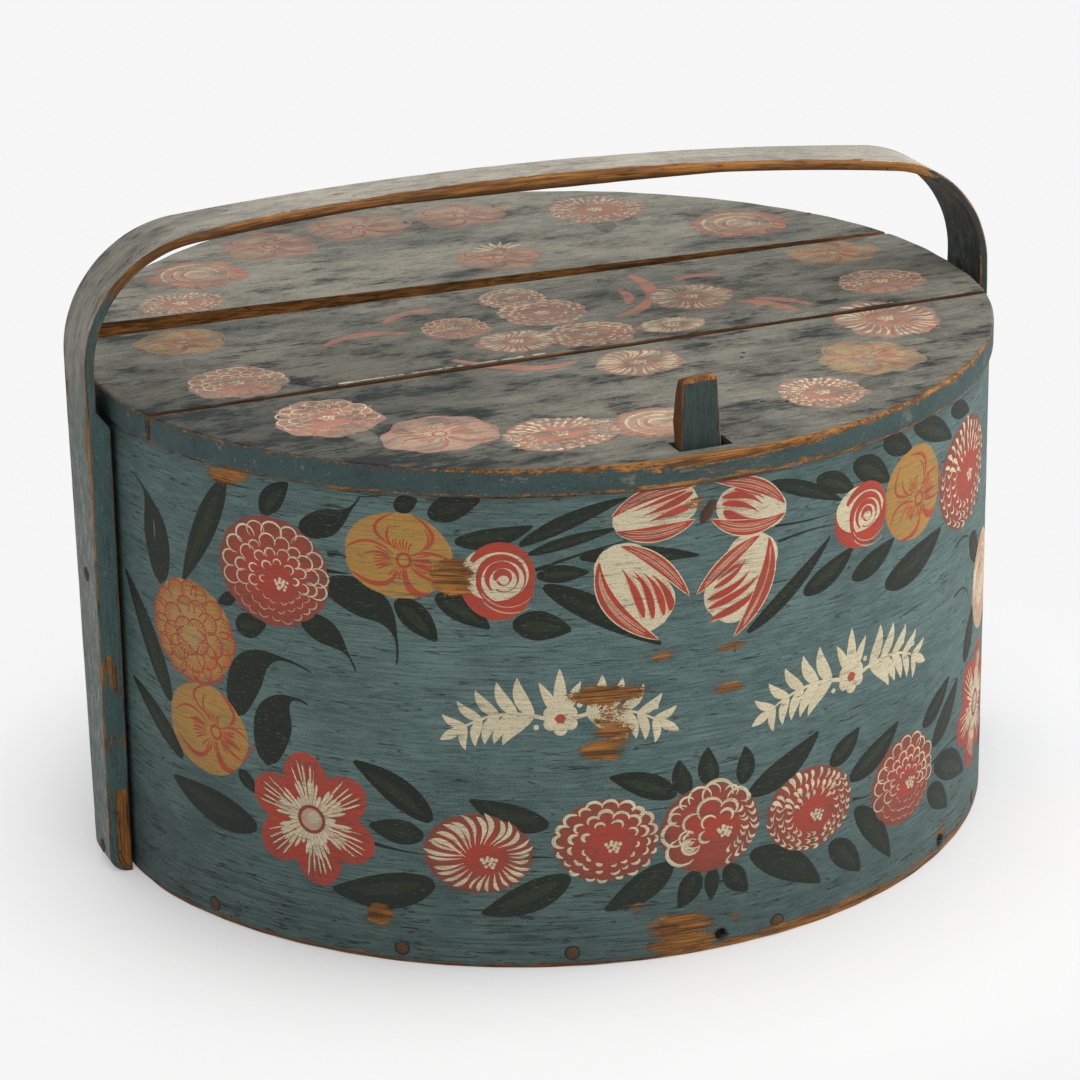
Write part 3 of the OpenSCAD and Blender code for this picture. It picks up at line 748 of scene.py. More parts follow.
def strap_path(sizes):
    """The strap's outer line from the left foot to the right one, with inward normals and walls."""
    reach = sizes.leg_out - sizes.bend
    fall = sizes.bend_right - sizes.bend_left
    tilt = math.atan2(fall, 2 * reach)
    span = math.hypot(2 * reach, fall) / 2
    arch = sizes.bend + (sizes.crown ** 2 + span ** 2) / (2 * sizes.crown)
    drop = arch - sizes.bend - sizes.crown
    level = (sizes.bend_left + sizes.bend_right) / 2
    middle = np.array([drop * math.sin(tilt), level - drop * math.cos(tilt)])
    half = math.asin(span / (arch - sizes.bend))
    foot = sizes.foot_round * (1 - np.cos(np.radians(np.linspace(0, 90, 10))))
    turn_left = np.linspace(math.pi, math.pi / 2 + half + tilt, 50)[:-1]
    turn_arch = np.linspace(math.pi / 2 + half + tilt, math.pi / 2 - half + tilt, 140)[:-1]
    turn_right = np.linspace(math.pi / 2 - half + tilt, 0, 50)
    legs = []
    for side, top in ((-1, sizes.bend_left), (1, sizes.bend_right)):
        level = np.concatenate([foot, np.linspace(sizes.foot_round, top, 120)[1:-1]])
        legs.append(np.stack([np.full(len(level), side * sizes.leg_out), level], axis=-1))
    up, down = legs[0], legs[1][::-1]
    bend_a = np.array([-reach, sizes.bend_left]) + sizes.bend * unit(turn_left)
    bend_b = np.array([reach, sizes.bend_right]) + sizes.bend * unit(turn_right)
    line = np.concatenate([up, bend_a, middle + arch * unit(turn_arch), bend_b, down])
    inward = np.concatenate([np.tile([1.0, 0.0], (len(up), 1)), -unit(turn_left), -unit(turn_arch),
                             -unit(turn_right), np.tile([-1.0, 0.0], (len(down), 1))])
    in_leg = ramp(line[:, 1], sizes.shoulder + sizes.shoulder_rise, sizes.shoulder)
    wall = sizes.strap_wall + (sizes.leg_wall - sizes.strap_wall) * in_leg
    swing = turn_arch - math.pi / 2 - tilt
    grip = sizes.grip_wall - arch * (1 - np.cos(swing))
    first = len(up) + len(bend_a)
    wall[first:first + len(turn_arch)] = np.maximum(sizes.strap_wall, grip)
    return line, inward, wall


# Steps on each face of the handle's and the tongue's sections.
HANDLE_STEPS, TONGUE_STEPS = 8, 6

# Worn places of the left leg: top of its split, and rubbed spots as height, half height and side.
SPLIT_TOP = 0.042
LEG_RUBS = ((0.222, 0.022, -1), (0.238, 0.010, 1))


def handle_fields(sizes, palette, line, way, share, on_grip):
    """The handle's fields: bare edges and rubbed places, slate paint, and painted shade and light."""
    turn_w, turn_t, _, deep = section_ring(HANDLE_STEPS)
    x, z = line[:, :1], line[:, 1:]
    reach = sizes.leg_out - sizes.bend
    front = (turn_w < -0.5).astype(float)
    outside, inside = turn_t < -0.5, turn_t > 0.5
    corner = (np.abs(turn_w * turn_t) > 0.05).astype(float)
    edged = 1 - np.where(x < 0, smooth(-x, reach * 1.18, reach * 1.38),
                         smooth(x, reach * 1.08, reach * 1.26))
    leg_part = smooth(sizes.lid_top - z, -0.02, 0.02)
    brow = outside * smooth(-share, 0.50, 0.88)
    streak = 0.52 * smooth(ripple(way, (0.23, 0.09, 0.041), 17), 0.15, 0.65)[:, None]
    traces = 0.34 * smooth(ripple(way, (0.31, 0.12, 0.047), 23), 0.1, 0.7)[:, None]
    split = front * ramp(deep, 0.25, 0.45) * ((z < SPLIT_TOP) & (x < 0))
    rubs = sum(bell(z, level, spread) * smooth(hand * share, 0.30, 0.95) for level, spread, hand in LEG_RUBS)
    worn = (edged * (0.88 * front + 0.35 * corner) + on_grip * 0.80 * brow * (1 - front),
            (1 - on_grip) * (0.45 * corner + 0.22 * front), 1.3 * split,
            leg_part * streak * (0.5 + 0.5 * front), traces * outside,
            0.80 * rubs * outside * (x < 0), 0.25 * on_grip * inside)
    bare = np.max(np.broadcast_arrays(*worn), axis=0)
    slate = 0.95 * front + (1 - on_grip) * 0.90 * inside + 0.90 * leg_part
    slate = np.clip(slate, 0, 0.95) + 3 * (1 - edged) * front
    # Painted shade on the left and painted light on the right; the grip's front face darker towards its
    # underside; painted shade on the legs' inner faces, which face the band.
    grime_and_shade = 0.42 * smooth(-x, 0.10, 0.21) - 0.16 * smooth(x, 0.02, 0.16)
    grime_and_shade = grime_and_shade * (1 - 0.5 * leg_part) + 0.55 * on_grip * front * ramp(deep, 0.35, 1.0)
    grime_and_shade = grime_and_shade + (0.35 + 0.25 * (x > 0)) * (1 - on_grip) * inside
    tint = linear(palette.wall_dark) * np.where(x[..., None] < 0, 1.75, 0.55)
    return {"wear": bare, "cover": slate, "grime_and_shade": grime_and_shade, "paint": np.broadcast_to(tint, bare.shape + (4,))}


def build_handle(sizes, palette, material):
    """Handle: a rounded section carried along the strap, thick in the legs and waisted at the grip."""
    line, inward, wall = strap_path(sizes)
    depth = np.maximum(sizes.foot_round - line[:, 1], 0)
    cut = sizes.foot_round - np.sqrt(sizes.foot_round ** 2 - depth ** 2)
    line = line + inward * cut[:, None]
    wall = wall - cut
    reach = sizes.leg_out - sizes.bend
    waist = sizes.grip_width / 2 + (sizes.strap_width - sizes.grip_width) / 2 * (line[:, 0] / reach) ** 2
    leg = np.clip(line[:, 1] / sizes.shoulder, 0, 1)
    half = np.minimum(sizes.strap_width / 2, sizes.foot_width / 2
                      + (sizes.strap_width - sizes.foot_width) / 2 * leg)
    half = np.where(np.abs(line[:, 0]) < reach, np.minimum(half, waist), half)
    way = ways(line)
    chip = 1 + 0.3 * ripple(way, (0.19, 0.053, 0.019), 11)
    on_grip = 1 - smooth(np.abs(line[:, 0]), reach * 0.92, reach * 1.1)
    radius = np.minimum((1.0 + 0.9 * on_grip) * MM * chip, wall * 0.32)
    across, through = section(half, wall, radius, HANDLE_STEPS)
    place = line[:, None] + inward[:, None] * through[..., None]
    points = np.stack([place[..., 0], sizes.handle_place + across, place[..., 1]], axis=-1)
    fields = handle_fields(sizes, palette, line, way, across / half[:, None], on_grip[:, None])
    fields["surface"] = np.stack([np.broadcast_to(way[:, None], across.shape), across, through], axis=-1)
    fields = {name: end_rows(field) for name, field in fields.items()}
    made = add_piece("bent_handle", "box", material, close_ends(points),
                     grid_faces(*fields["wear"].shape), fields)
    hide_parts("handle")


def build_tongue(sizes, material):
    """Latch tongue: a rounded section carried upwards, from the root by the stand-off to nose and tip."""
    oval = Oval(sizes)
    low, tip, root = sizes.tongue_low, sizes.tongue_top, sizes.tongue_root
    stand, nose, lean = sizes.tongue_stand, sizes.tongue_nose, sizes.tip_lean
    lid_low, lid_top, nail = sizes.lid_low, sizes.lid_top, sizes.tongue_nail
    back = stand + sizes.tongue_wall
    rear_z = [low, low + root, nail, lid_low, lid_top, lid_top + sizes.nose_rise, tip - sizes.tip_length, tip]
    rear_y = [root - lean, root, root, back, back, back + nose, back + nose / 2,
              stand + lean + sizes.tongue_wall - nose / 2]
    front_z = [low, nail, lid_low, lid_top, tip]
    front_y = [0.0, 0.0, stand, stand, stand + lean]
    z = np.linspace(low, tip, 90)
    rear, front = np.interp(z, rear_z, rear_y), np.interp(z, front_z, front_y)
    widths = [sizes.tongue_width, sizes.tongue_width, sizes.tip_width]
    half = np.interp(z, [low, lid_top, tip], widths) / 2
    radius = np.full(len(z), 1.1 * MM)
    end = np.minimum(z - low, tip - z)
    rounding = 1.2 * MM
    pinch = rounding * (1 - np.sqrt(1 - (1 - np.clip(end / rounding, 0, 1)) ** 2))
    across, through = section(half - pinch, rear - front - 2 * pinch, radius, TONGUE_STEPS)
    x = sizes.tongue_place + across
    y = -(sizes.half_depth - sizes.band_wall) + front[:, None] + pinch[:, None] + through
    band = oval.side_c - np.sqrt((oval.side_r - sizes.band_wall - sizes.root_fit) ** 2 - x ** 2)
    y = np.maximum(y, band)
    at_tip = smooth(z, tip - sizes.tip_length, tip)[:, None]
    slant = at_tip * (across / sizes.tip_width - 0.5) * lean
    points = np.stack([x, y, np.broadcast_to(z[:, None], x.shape) + slant], axis=-1)
    turn_w, turn_t = section_ring(TONGUE_STEPS)[:2]
    corner = (np.abs(turn_w * turn_t) > 0.05).astype(float)
    left = (turn_w < -0.5).astype(float)
    above = smooth(z, lid_low, lid_top)[:, None]
    bare = 0.62 * corner + 1.1 * left + 0.2 * (turn_w > 0.5) + 0.3 * (turn_t > 0.5)
    bare = bare[None] * (0.4 + 0.6 * above) + 1.3 * smooth(z, tip - 3.2 * MM, tip - 0.6 * MM)[:, None]
    # Some darkening all over, and painted shade on the tongue's left face.
    fields = {"surface": np.stack([np.broadcast_to(z[:, None], x.shape), x, y], axis=-1), "wear": bare,
              "grime_and_shade": np.broadcast_to(0.15 + 0.5 * left, bare.shape)}
    fields = {name: end_rows(field) for name, field in fields.items()}
    made = add_piece("tongue", "latch", material, close_ends(points),
                     grid_faces(*fields["wear"].shape), fields)
    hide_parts("latch_tongue")


def pins(starts, headings, profile, facets, depth, seed, lean=0.0):
    """Pins: a profile of distance and two radii, revolved about each heading, with facets."""
    starts, headings = np.array(starts, float), np.array(headings, float)
    headings /= np.linalg.norm(headings, axis=1, keepdims=True)
    helper = np.where(np.abs(headings[:, 2:3]) > 0.9, [[1.0, 0, 0]], [[0, 0, 1.0]])
    first = np.cross(helper, headings)
    first /= np.linalg.norm(first, axis=1, keepdims=True)
    second = np.cross(headings, first)
    first, second = (first * math.cos(lean) + second * math.sin(lean),
                     second * math.cos(lean) - first * math.sin(lean))
    spin = np.linspace(0, 2 * math.pi, 20, endpoint=False)
    phase = np.random.default_rng(seed).uniform(0, 2 * math.pi, len(starts))
    whittle = 1 + depth * np.cos(facets * spin[None] + phase[:, None])
    out, wide, tall = np.array(profile, float).T
    round_a = wide[None, :, None] * (np.cos(spin) * whittle)[:, None]
    round_b = tall[None, :, None] * (np.sin(spin) * whittle)[:, None]
    points = (starts[:, None, None] + headings[:, None, None] * out[None, :, None, None]
              + first[:, None, None] * round_a[..., None] + second[:, None, None] * round_b[..., None])
    one = grid_faces(len(out), len(spin))
    shift = np.arange(len(starts)) * len(out) * len(spin)
    return points, one[None] + shift[:, None, None, None]


def dome(radius, rise, depth, taper=0.92):
    """A domed pin's profile: distance out and two radii, from the tip to the hidden end."""
    turn = np.radians(np.array([90, 62, 36, 14, 0]))
    end = [(rise * math.sin(t), radius * math.cos(t) + 1e-9, radius * math.cos(t) + 1e-9) for t in turn]
    return end + [(-depth, radius * taper, radius * taper), (-depth, 1e-9, 1e-9)]


# Depths of the pegs through the lid, two in each board, in millimetres.
LID_PEG_DEPTHS = np.array([-138.7, -84.8, -32.8, 29.25, 92.5, 138.7])


def build_pegs(sizes, palette):
    """Whittled pegs in the bottom, and those under the lid's paint that hold its battens."""
    oval = Oval(sizes)
    material = peg_wood("peg_ends", palette.peg, palette.raw_dark)
    turns = np.radians(np.array(PEG_TURNS, float))
    starts = np.concatenate([oval.at(turns), np.full((len(turns), 1), sizes.peg_height)], axis=1)
    headings = np.concatenate([unit(turns), np.zeros((len(turns), 1))], axis=1)
    profile = dome(sizes.peg_radius, 0.5 * MM, sizes.peg_depth)
    points, faces = pins(starts, headings, profile, 6, 0.05, 21)
    made = add_piece("bottom_pegs", "box", material, points, faces, {})
    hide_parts("base_pegs")
    depths = LID_PEG_DEPTHS * MM
    sunk = np.full(len(depths), sizes.lid_top - 0.4 * MM)
    profile = dome(sizes.lid_peg_radius, 0.1 * MM, sizes.lid_peg_depth)
    for sign, end in ((-1, "left"), (1, "right")):
        place = np.stack([np.full(len(depths), sign * sizes.lid_peg_place), depths, sunk], axis=-1)
        points, faces = pins(place, np.tile([0, 0, 1.0], (len(depths), 1)), profile, 6, 0.03, 22)
        made = add_piece("lid_pegs_" + end, "lid", material, points, faces, {})
        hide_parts("batten_pegs_" + end)


def build_nails(sizes, palette):
    """Forged nails: two in each leg, and a clenched one that holds the tongue."""
    material = rusty_iron("forged_nail", palette)
    wide, thick, point = sizes.nail_head, sizes.nail_radius, sizes.nail_radius * 0.7
    rows = ((1.0, 1e-6), (0.95, 0.35), (0.5, 0.85), (0.15, 1.0), (0.0, 0.96))
    head = [(out * MM, share * wide, share * wide) for out, share in rows] + [(0.0, thick, thick)]
    inner = sizes.half_length - sizes.band_wall
    for side, end in ((-1, "left"), (1, "right")):
        parts = []
        for height, reach in ((sizes.foot_nail, inner - 25 * MM), (sizes.leg_nail, inner - 1 * MM)):
            shank = sizes.leg_out - reach
            profile = head + [(-shank, point, point), (-shank, 1e-9, 1e-9)]
            start = (side * sizes.leg_out, sizes.handle_place, height)
            parts.append(pins([start], [(side, 0, 0)], profile, 5, 0.07, 31))
        (first, low), (second, high) = parts
        points = np.concatenate([first.reshape(-1, 3), second.reshape(-1, 3)])
        faces = np.concatenate([low.reshape(-1, 4), high.reshape(-1, 4) + first.size // 3])
        made = add_piece("leg_nails_" + end, "box", material, points, faces, {})
        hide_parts("handle_nails_" + end)
    shank = sizes.band_wall + sizes.tongue_root - 1 * MM
    clench = [(out * MM, share * 6.2 * MM, share * 2.5 * MM) for out, share in rows]
    clench += [(0.0, thick, thick), (-shank, 0.7 * MM, 0.7 * MM), (-shank, 1e-9, 1e-9)]
    start = (sizes.tongue_place - 1.2 * MM, -sizes.half_depth, sizes.tongue_nail + 0.8 * MM)
    points, faces = pins([start], [(0, -1, 0)], clench, 5, 0.08, 33, math.radians(57))
    made = add_piece("tongue_nail", "box", material, points, faces, {})
    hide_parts("latch_nail")


# Sections of a stroke and of a leaf: places across the half width, and which are raised.
EDGE_ACROSS = np.array([-1.0, -0.72, 0.72, 1.0])
EDGE_TOP = np.array([0.0, 1.0, 1.0, 0.0])
LEAF_ACROSS = np.array([-1.0, -0.88, -0.6, -0.2, 0.2, 0.6, 0.88, 1.0])
LEAF_TOP = np.array([0.0, 1, 1, 1, 1, 1, 1, 0])

# Height of a layer of paint, and how far its edges dip under the surface, in millimetres.
LAYER = 0.04
DIP = 0.05


class Painting:
    """Films of paint on one surface: closed pads, gathered as grids of places in millimetres."""

    def __init__(self, seed, rag=0.0):
        self.rng = np.random.default_rng(seed)
        self.rag = rag
        self.places, self.lifts, self.tints, self.faces = [], [], [], []
        self.count = 0

    def grid(self, place, level, top, tint):
        """Adds grids of places (patches, rows, columns, 2), each a little higher than the last."""
        patches, rows, columns = place.shape[:3]
        jitter = np.linspace(0, 0.3, patches)[:, None, None]
        lift = (level + jitter) * LAYER - DIP + (LAYER + DIP) * top
        lift = lift + 0.0001 * len(self.places)
        one = grid_faces(rows, columns).reshape(-1, 4)
        shift = self.count + np.arange(patches) * rows * columns
        self.faces.append((one[None] + shift[:, None, None]).reshape(-1, 4))
        self.places.append(place.reshape(-1, 2))
        self.lifts.append(np.broadcast_to(lift, place.shape[:3]).ravel())
        self.tints.append(np.broadcast_to(tint, place.shape[:3] + (4,)).reshape(-1, 4))
        self.count += patches * rows * columns

    def stroke(self, line, half, tint, level, across=EDGE_ACROSS, top=EDGE_TOP):
        """Brush strokes along lines (patches, rows, 2), with edges that dip under the surface."""
        heading = np.gradient(line, axis=1)
        heading = heading / np.maximum(np.linalg.norm(heading, axis=-1, keepdims=True), 1e-9)
        side = np.stack([-heading[..., 1], heading[..., 0]], axis=-1)
        half = np.broadcast_to(half, line.shape[:2])
        place = line[:, :, None] + side[:, :, None] * half[..., None, None] * across[:, None]
        full = smooth(half, 0, 0.25)[..., None] * top
        self.grid(place, level, full, tint)

    def leaf(self, line, half, tint, level):
        """Broad strokes, with more points across them."""
        self.stroke(line, half, tint, level, LEAF_ACROSS, LEAF_TOP)

    def disc(self, centre, size, tint, level, lobes=0, depth=0.0, turn=0.0, rings=8, columns=48):
        """Pads with a lobed rim: rings from the middle to the rim, then back underneath."""
        centre = np.atleast_2d(centre).astype(float)
        size = np.broadcast_to(size, centre.shape)
        spin = np.linspace(0, 2 * math.pi, columns, endpoint=False)
        rim = 1 - depth + depth * np.abs(np.cos(lobes * spin / 2))
        phase = self.rng.uniform(0, 6.3, 3) if self.rag else np.zeros(3)
        rim = rim + self.rag * np.sin(spin[:, None] * np.array([3, 5, 9]) + phase).sum(axis=1)
        shape = (unit(spin) * rim[:, None])[None] * size[:, None] / 2
        turn = np.broadcast_to(turn, len(centre))
        cos, sin = np.cos(turn), np.sin(turn)
        swing = np.stack([np.stack([cos, -sin], axis=-1), np.stack([sin, cos], axis=-1)], axis=-2)
        shape = np.einsum("pij,pcj->pci", swing, shape)
        share = np.concatenate([np.linspace(0, 0.97, rings), [1.0, 0.0]])
        top = np.concatenate([np.ones(rings), [0.0, 0.0]])
        place = centre[:, None, None] + share[None, :, None, None] * shape[:, None]
        self.grid(place, level, top[None, :, None], tint)

    def gather(self):
        """All places and lifts in metres, with their tints and faces."""
        parts = (self.places, self.lifts, self.tints, self.faces)
        place, lift, tint, faces = (np.concatenate(part) for part in parts)
        return place * MM, lift * MM, tint, faces

    def vary(self, tint, count, amount=0.12):
        """A colour with seeded changes of strength, one for each of a number of strokes."""
        strength = 1 + amount * self.rng.uniform(-1, 1, count)
        return (tint * np.stack([strength] * 3 + [np.ones(count)], axis=-1))[:, None, None]


def curve(start, middle, end, rows):
    """Quadratic curves through control points (patches, 2)."""
    t = np.linspace(0, 1, rows)[None, :, None]
    start, middle, end = (np.atleast_2d(p).astype(float)[:, None] for p in (start, middle, end))
    return start * (1 - t) ** 2 + 2 * middle * t * (1 - t) + end * t ** 2


def table_curves(table, rows):
    """Curves from the start, control point and end in the first columns of a table."""
    return curve(table[:, 0:2], table[:, 2:4], table[:, 4:6], rows)


def leaf_lines(base, tip, bend, rows=22):
    """Leaf middles from base to tip, sagging sideways by a share of their length."""
    base, tip = np.atleast_2d(base).astype(float), np.atleast_2d(tip).astype(float)
    way = tip - base
    side = np.stack([-way[:, 1], way[:, 0]], axis=-1)
    return curve(base, (base + tip) / 2 + side * np.atleast_1d(bend)[:, None] * 2, tip, rows)


def leaf_half(width, rows=22, blunt=0.80, point=0.80):
    """Half widths of leaves: a round base, the broadest part before the middle, and a pointed tip."""
    t = np.linspace(0, 1, rows)
    return np.atleast_1d(width)[:, None] / 2 * np.sin(math.pi * t ** blunt)[None] ** point


class Flower:
    """A round painted flower: a ground and strokes placed between its eye and its rim."""

    def __init__(self, painting, centre, size, eye=None):
        self.painting = painting
        self.centre = np.array(centre, float)
        self.half = np.array(size, float) / 2
        self.eye = (np.array(centre if eye is None else eye, float) - self.centre) / self.half

    def reach(self, share, turn):
        """Places at a share of the way from the eye to the rim, in a direction from the middle."""
        share, turn = np.broadcast_arrays(share, turn)
        local = self.eye * (1 - share[..., None]) + unit(turn) * share[..., None]
        return self.centre + local * self.half

    def ground(self, inner, outer, lobes, depth):
        """The flower's ground, from one colour at its middle to another at its rim."""
        mix = np.concatenate([np.linspace(0, 1, 8) ** 1.5, [1, 1]])[None, :, None, None]
        tint = inner * (1 - mix) + outer * mix
        self.painting.disc(self.centre, self.half * 2, tint, 1, lobes, depth)

    def scallops(self, rings, first, last, tint, half, sweep=105, level=2):
        """Arcs that bulge towards the rim, in rings of a share, a count and a radius."""
        rng = self.painting.rng
        for share, count, radius in rings:
            spot = first + (last - first) * (np.arange(count) + rng.uniform(0.35, 0.65, count)) / count
            turn = np.radians(spot)[:, None]
            lean = np.radians(rng.uniform(-18, 18, count))[:, None]
            bow = np.radians(np.linspace(-sweep, sweep, 11))[None] + lean
            size = radius * rng.uniform(0.76, 1.16, count)[:, None, None]
            level_share = share * rng.uniform(0.95, 1.03, count)[:, None]
            line = self.reach(level_share, turn) + unit(turn + bow) * size * self.half
            width = half * np.sin(np.linspace(0.12, math.pi - 0.12, 11) + 0.3 * lean) ** 0.6
            self.painting.stroke(line, width * rng.uniform(0.75, 1.2, count)[:, None],
                                 self.painting.vary(tint, count), level)

    def rays(self, rings, first, last, tint, half, curl=0.0, level=2):
        """Tapered strokes away from the eye, in rings of two shares and a count."""
        rng = self.painting.rng
        for inner, outer, count in rings:
            spot = first + (last - first) * (np.arange(count) + rng.uniform(0.3, 0.7, count)) / count
            t = np.linspace(0, 1, 9)[None]
            far = outer * rng.uniform(0.92, 1.04, count)[:, None]
            turn = np.radians(spot)[:, None] + curl * (t - 0.6) ** 2
            line = self.reach(inner + (far - inner) * t, turn)
            width = half * np.sin(math.pi * np.linspace(0.04, 1, 9) ** 2.1) ** 0.7 + 0.10
            self.painting.stroke(line, width[None] * rng.uniform(0.75, 1.25, count)[:, None],
                                 self.painting.vary(tint, count), level)

    def scales(self, rings, tint, half, level=2):
        """Arched scales in rings of a share, a count and a radius, hatched towards the eye."""
        rng = self.painting.rng
        for share, count, radius in rings:
            turn = 2 * math.pi * (np.arange(count) + rng.uniform(0.3, 0.7, count) + 0.5 * share) / count
            size = radius * rng.uniform(0.85, 1.15, count)[:, None, None] * self.half
            middle = self.reach(share, turn)[:, None]
            bow = np.radians(np.linspace(-125, 125, 13))[None]
            arch = middle + unit(turn[:, None] + bow) * size
            self.painting.stroke(arch, half, tint, level)
            taper = half * 0.75 * np.linspace(1, 0.3, 5)[None]
            for lean in np.radians(np.linspace(-62, 62, 7)):
                tip = unit(turn + lean)[:, None] * size
                deep = np.linspace(0.98, rng.uniform(0.2, 0.45), 5)[None, :, None]
                self.painting.stroke(middle + tip * deep, taper, tint, level)

    def dots(self, count, spread, radius, tint, level=3):
        """A cluster of dots round the eye."""
        k = np.arange(count)
        away = unit(k * 2.39996) * (spread * np.sqrt((k + 0.4) / count))[:, None]
        centre = self.centre + self.eye * self.half + away * np.array([1.0, 0.8])
        size = np.stack([radius * 2 * self.painting.rng.uniform(0.7, 1.1, count)] * 2, axis=-1)
        self.painting.disc(centre, size, tint, level, rings=2, columns=10)

    def rings(self, radii, tint, half, sweep=300, start=20, level=2):
        """Spiral of broken rings round the eye, each thicker at its upper left."""
        rng = self.painting.rng
        eye = self.centre + self.eye * self.half
        for number, radius in enumerate(radii):
            turn = np.radians(start + 35 * number + np.linspace(0, sweep, 30))
            swell = 1 + 0.12 * np.linspace(-1, 1, 30)
            line = eye + unit(turn) * (radius * swell)[:, None]
            thick = half * (0.55 + 0.55 * np.cos(turn - math.radians(125))) + 0.25
            thick = thick * np.sin(np.linspace(0.1, math.pi - 0.1, 30)) ** 0.35
            self.painting.stroke(line[None], thick[None] * rng.uniform(0.9, 1.1), tint, level)


def dahlia(painting, tones, centre, size, eye, style):
    """Red dahlia with cream petals, in one of five styles of scallops and rays."""
    flower = Flower(painting, centre, size, eye)
    flower.ground(tones["red"], tones["rose"], 15, 0.03)
    cream = tones["cream"]
    if style == "scallops":
        rings = [(0.80, 11, 0.165), (0.61, 10, 0.125), (0.45, 8, 0.10), (0.30, 5, 0.075)]
        flower.scallops(rings, -25, 205, cream, 0.50, 125)
        rings = [(0.78, 9, 0.09), (0.58, 8, 0.08), (0.40, 6, 0.06)]
        flower.scallops(rings, 205, 335, tones["pale"], 0.34, 80)
    elif style == "bold":
        flower.scallops([(0.76, 6, 0.27), (0.50, 4, 0.22), (0.32, 3, 0.13)], 35, 225, cream, 0.85)
        flower.scallops([(0.80, 4, 0.16)], 50, 170, cream, 0.6)
        flower.rays([(0.72, 0.98, 10), (0.46, 0.68, 8)], -75, 40, cream, 0.75, 0.5)
        flower.scallops([(0.62, 2, 0.21), (0.60, 2, 0.10)], 180, 225, cream, 0.8, 150)
    elif style == "commas":
        flower.scallops([(0.85, 10, 0.14), (0.63, 7, 0.14), (0.46, 4, 0.10)], 5, 185, cream, 0.95, 95)
        flower.scallops([(0.86, 10, 0.10), (0.67, 9, 0.09), (0.48, 7, 0.07)], 185, 365, cream, 0.85, 65)
    elif style == "dashes":
        flower.rays([(0.72, 0.98, 11), (0.52, 0.76, 10), (0.38, 0.54, 6)], 35, 160, cream, 1.05, 0.25)
        flower.rays([(0.84, 0.98, 9), (0.66, 0.80, 9), (0.48, 0.62, 6)], -75, 35, cream, 0.62, 0.5)
        flower.rays([(0.84, 0.97, 10), (0.66, 0.80, 9), (0.48, 0.62, 7)], 160, 285, cream, 0.62, -0.6)
    else:
        flower.rays([(0.36, 0.98, 10)], 25, 160, cream, 1.35, 0.9)
        flower.rays([(0.40, 0.98, 7)], 160, 250, cream, 0.95, -0.4)
        flower.rays([(0.40, 0.97, 7)], 250, 330, cream, 0.85, 0.3)
        flower.rays([(0.44, 0.98, 5)], -30, 25, cream, 1.0, 0.4)
    flower.dots(11, 3.8, 1.0, cream)


def zinnia(painting, tones, centre, size, eye):
    """Ochre zinnia with scales outlined and hatched in red."""
    flower = Flower(painting, centre, size, eye)
    flower.ground(tones["ochre"] * 0.75 + tones["pale"] * 0.25, tones["amber"], 20, 0.04)
    flower.scales([(0.80, 15, 0.21), (0.50, 9, 0.23), (0.18, 4, 0.24)], tones["coral"], 0.5)


# Lines of a pansy from its eye, in half sizes: start, control point, end and half width in millimetres.
PANSY_LINES = np.array([
    (-0.10, 0.26, -0.95, 0.72, -0.14, 1.08, 0.95), (0.38, 0.26, 0.98, 0.72, 0.20, 1.04, 1.15),
    (-0.20, 0.14, -0.66, 0.62, -1.08, 0.16, 0.80), (-0.10, -0.26, -0.42, -1.02, -1.00, -0.34, 1.45),
    (0.00, -0.22, 0.04, -0.90, 0.50, -0.80, 2.10), (0.10, 0.10, 0.48, 0.32, 0.92, 0.02, 0.85),
    (0.18, -0.06, 0.40, -0.14, 0.56, -0.24, 1.50), (0.12, -0.14, 0.34, -0.40, 0.62, -0.46, 0.95),
    (-0.14, 0.24, -0.42, 0.52, -0.22, 0.80, 0.70), (0.30, 0.22, 0.56, 0.46, 0.38, 0.74, 0.60),
    (0.92, 0.02, 0.98, -0.40, 0.70, -0.66, 0.70), (-0.24, 0.02, -0.50, 0.26, -0.78, 0.04, 0.55),
])

# Veins of a pansy: outer share, count, first and last direction, half width and curl.
PANSY_VEINS = ((0.52, 7, 150, 218, 0.42, 0.3), (0.46, 6, 58, 118, 0.42, -0.5), (0.60, 7, -52, 14, 0.55, 0.3),
               (0.50, 5, 232, 292, 0.42, 0.3))


def pansy(painting, tones, centre, size, eye, turn=0.0):
    """Ochre pansy with red petal outlines, and veins from a ringed eye."""
    flower = Flower(painting, centre, size, eye)
    flower.ground(tones["ochre"], tones["amber"], 5, 0.03)
    red = tones["coral"]
    swing = math.radians(turn)
    spin = np.array([[math.cos(swing), math.sin(swing)], [-math.sin(swing), math.cos(swing)]])
    heart = flower.centre + flower.eye * flower.half
    ends = [heart + PANSY_LINES[:, k:k + 2] @ spin * flower.half for k in (0, 2, 4)]
    for number in (1, 2):
        away = (ends[number] - flower.centre) / flower.half
        past = np.maximum(np.linalg.norm(away, axis=1), 1)[:, None]
        ends[number] = flower.centre + away / past * flower.half
    wide = np.sin(math.pi * np.linspace(0.06, 0.96, 22)) ** 0.8
    painting.stroke(curve(*ends, 22), PANSY_LINES[:, 6:7] * wide, red, 2)
    for outer, count, first, last, half, curl in PANSY_VEINS:
        flower.rays([(0.16, outer, count)], first + turn, last + turn, red, half, curl)
    ring = heart + unit(np.linspace(0, 2 * math.pi, 24)) * 3.1
    painting.stroke(ring[None], 0.75, red, 3)


# Streaks of a petal: two shares and a count, half angle, paint and half width.
PETAL_STREAKS = (((0.40, 0.88, 5), 17, "cream", 0.36), ((0.24, 0.62, 6), 24, "cream", 0.7),
                 ((0.50, 0.96, 6), 18, "rose", 0.34))


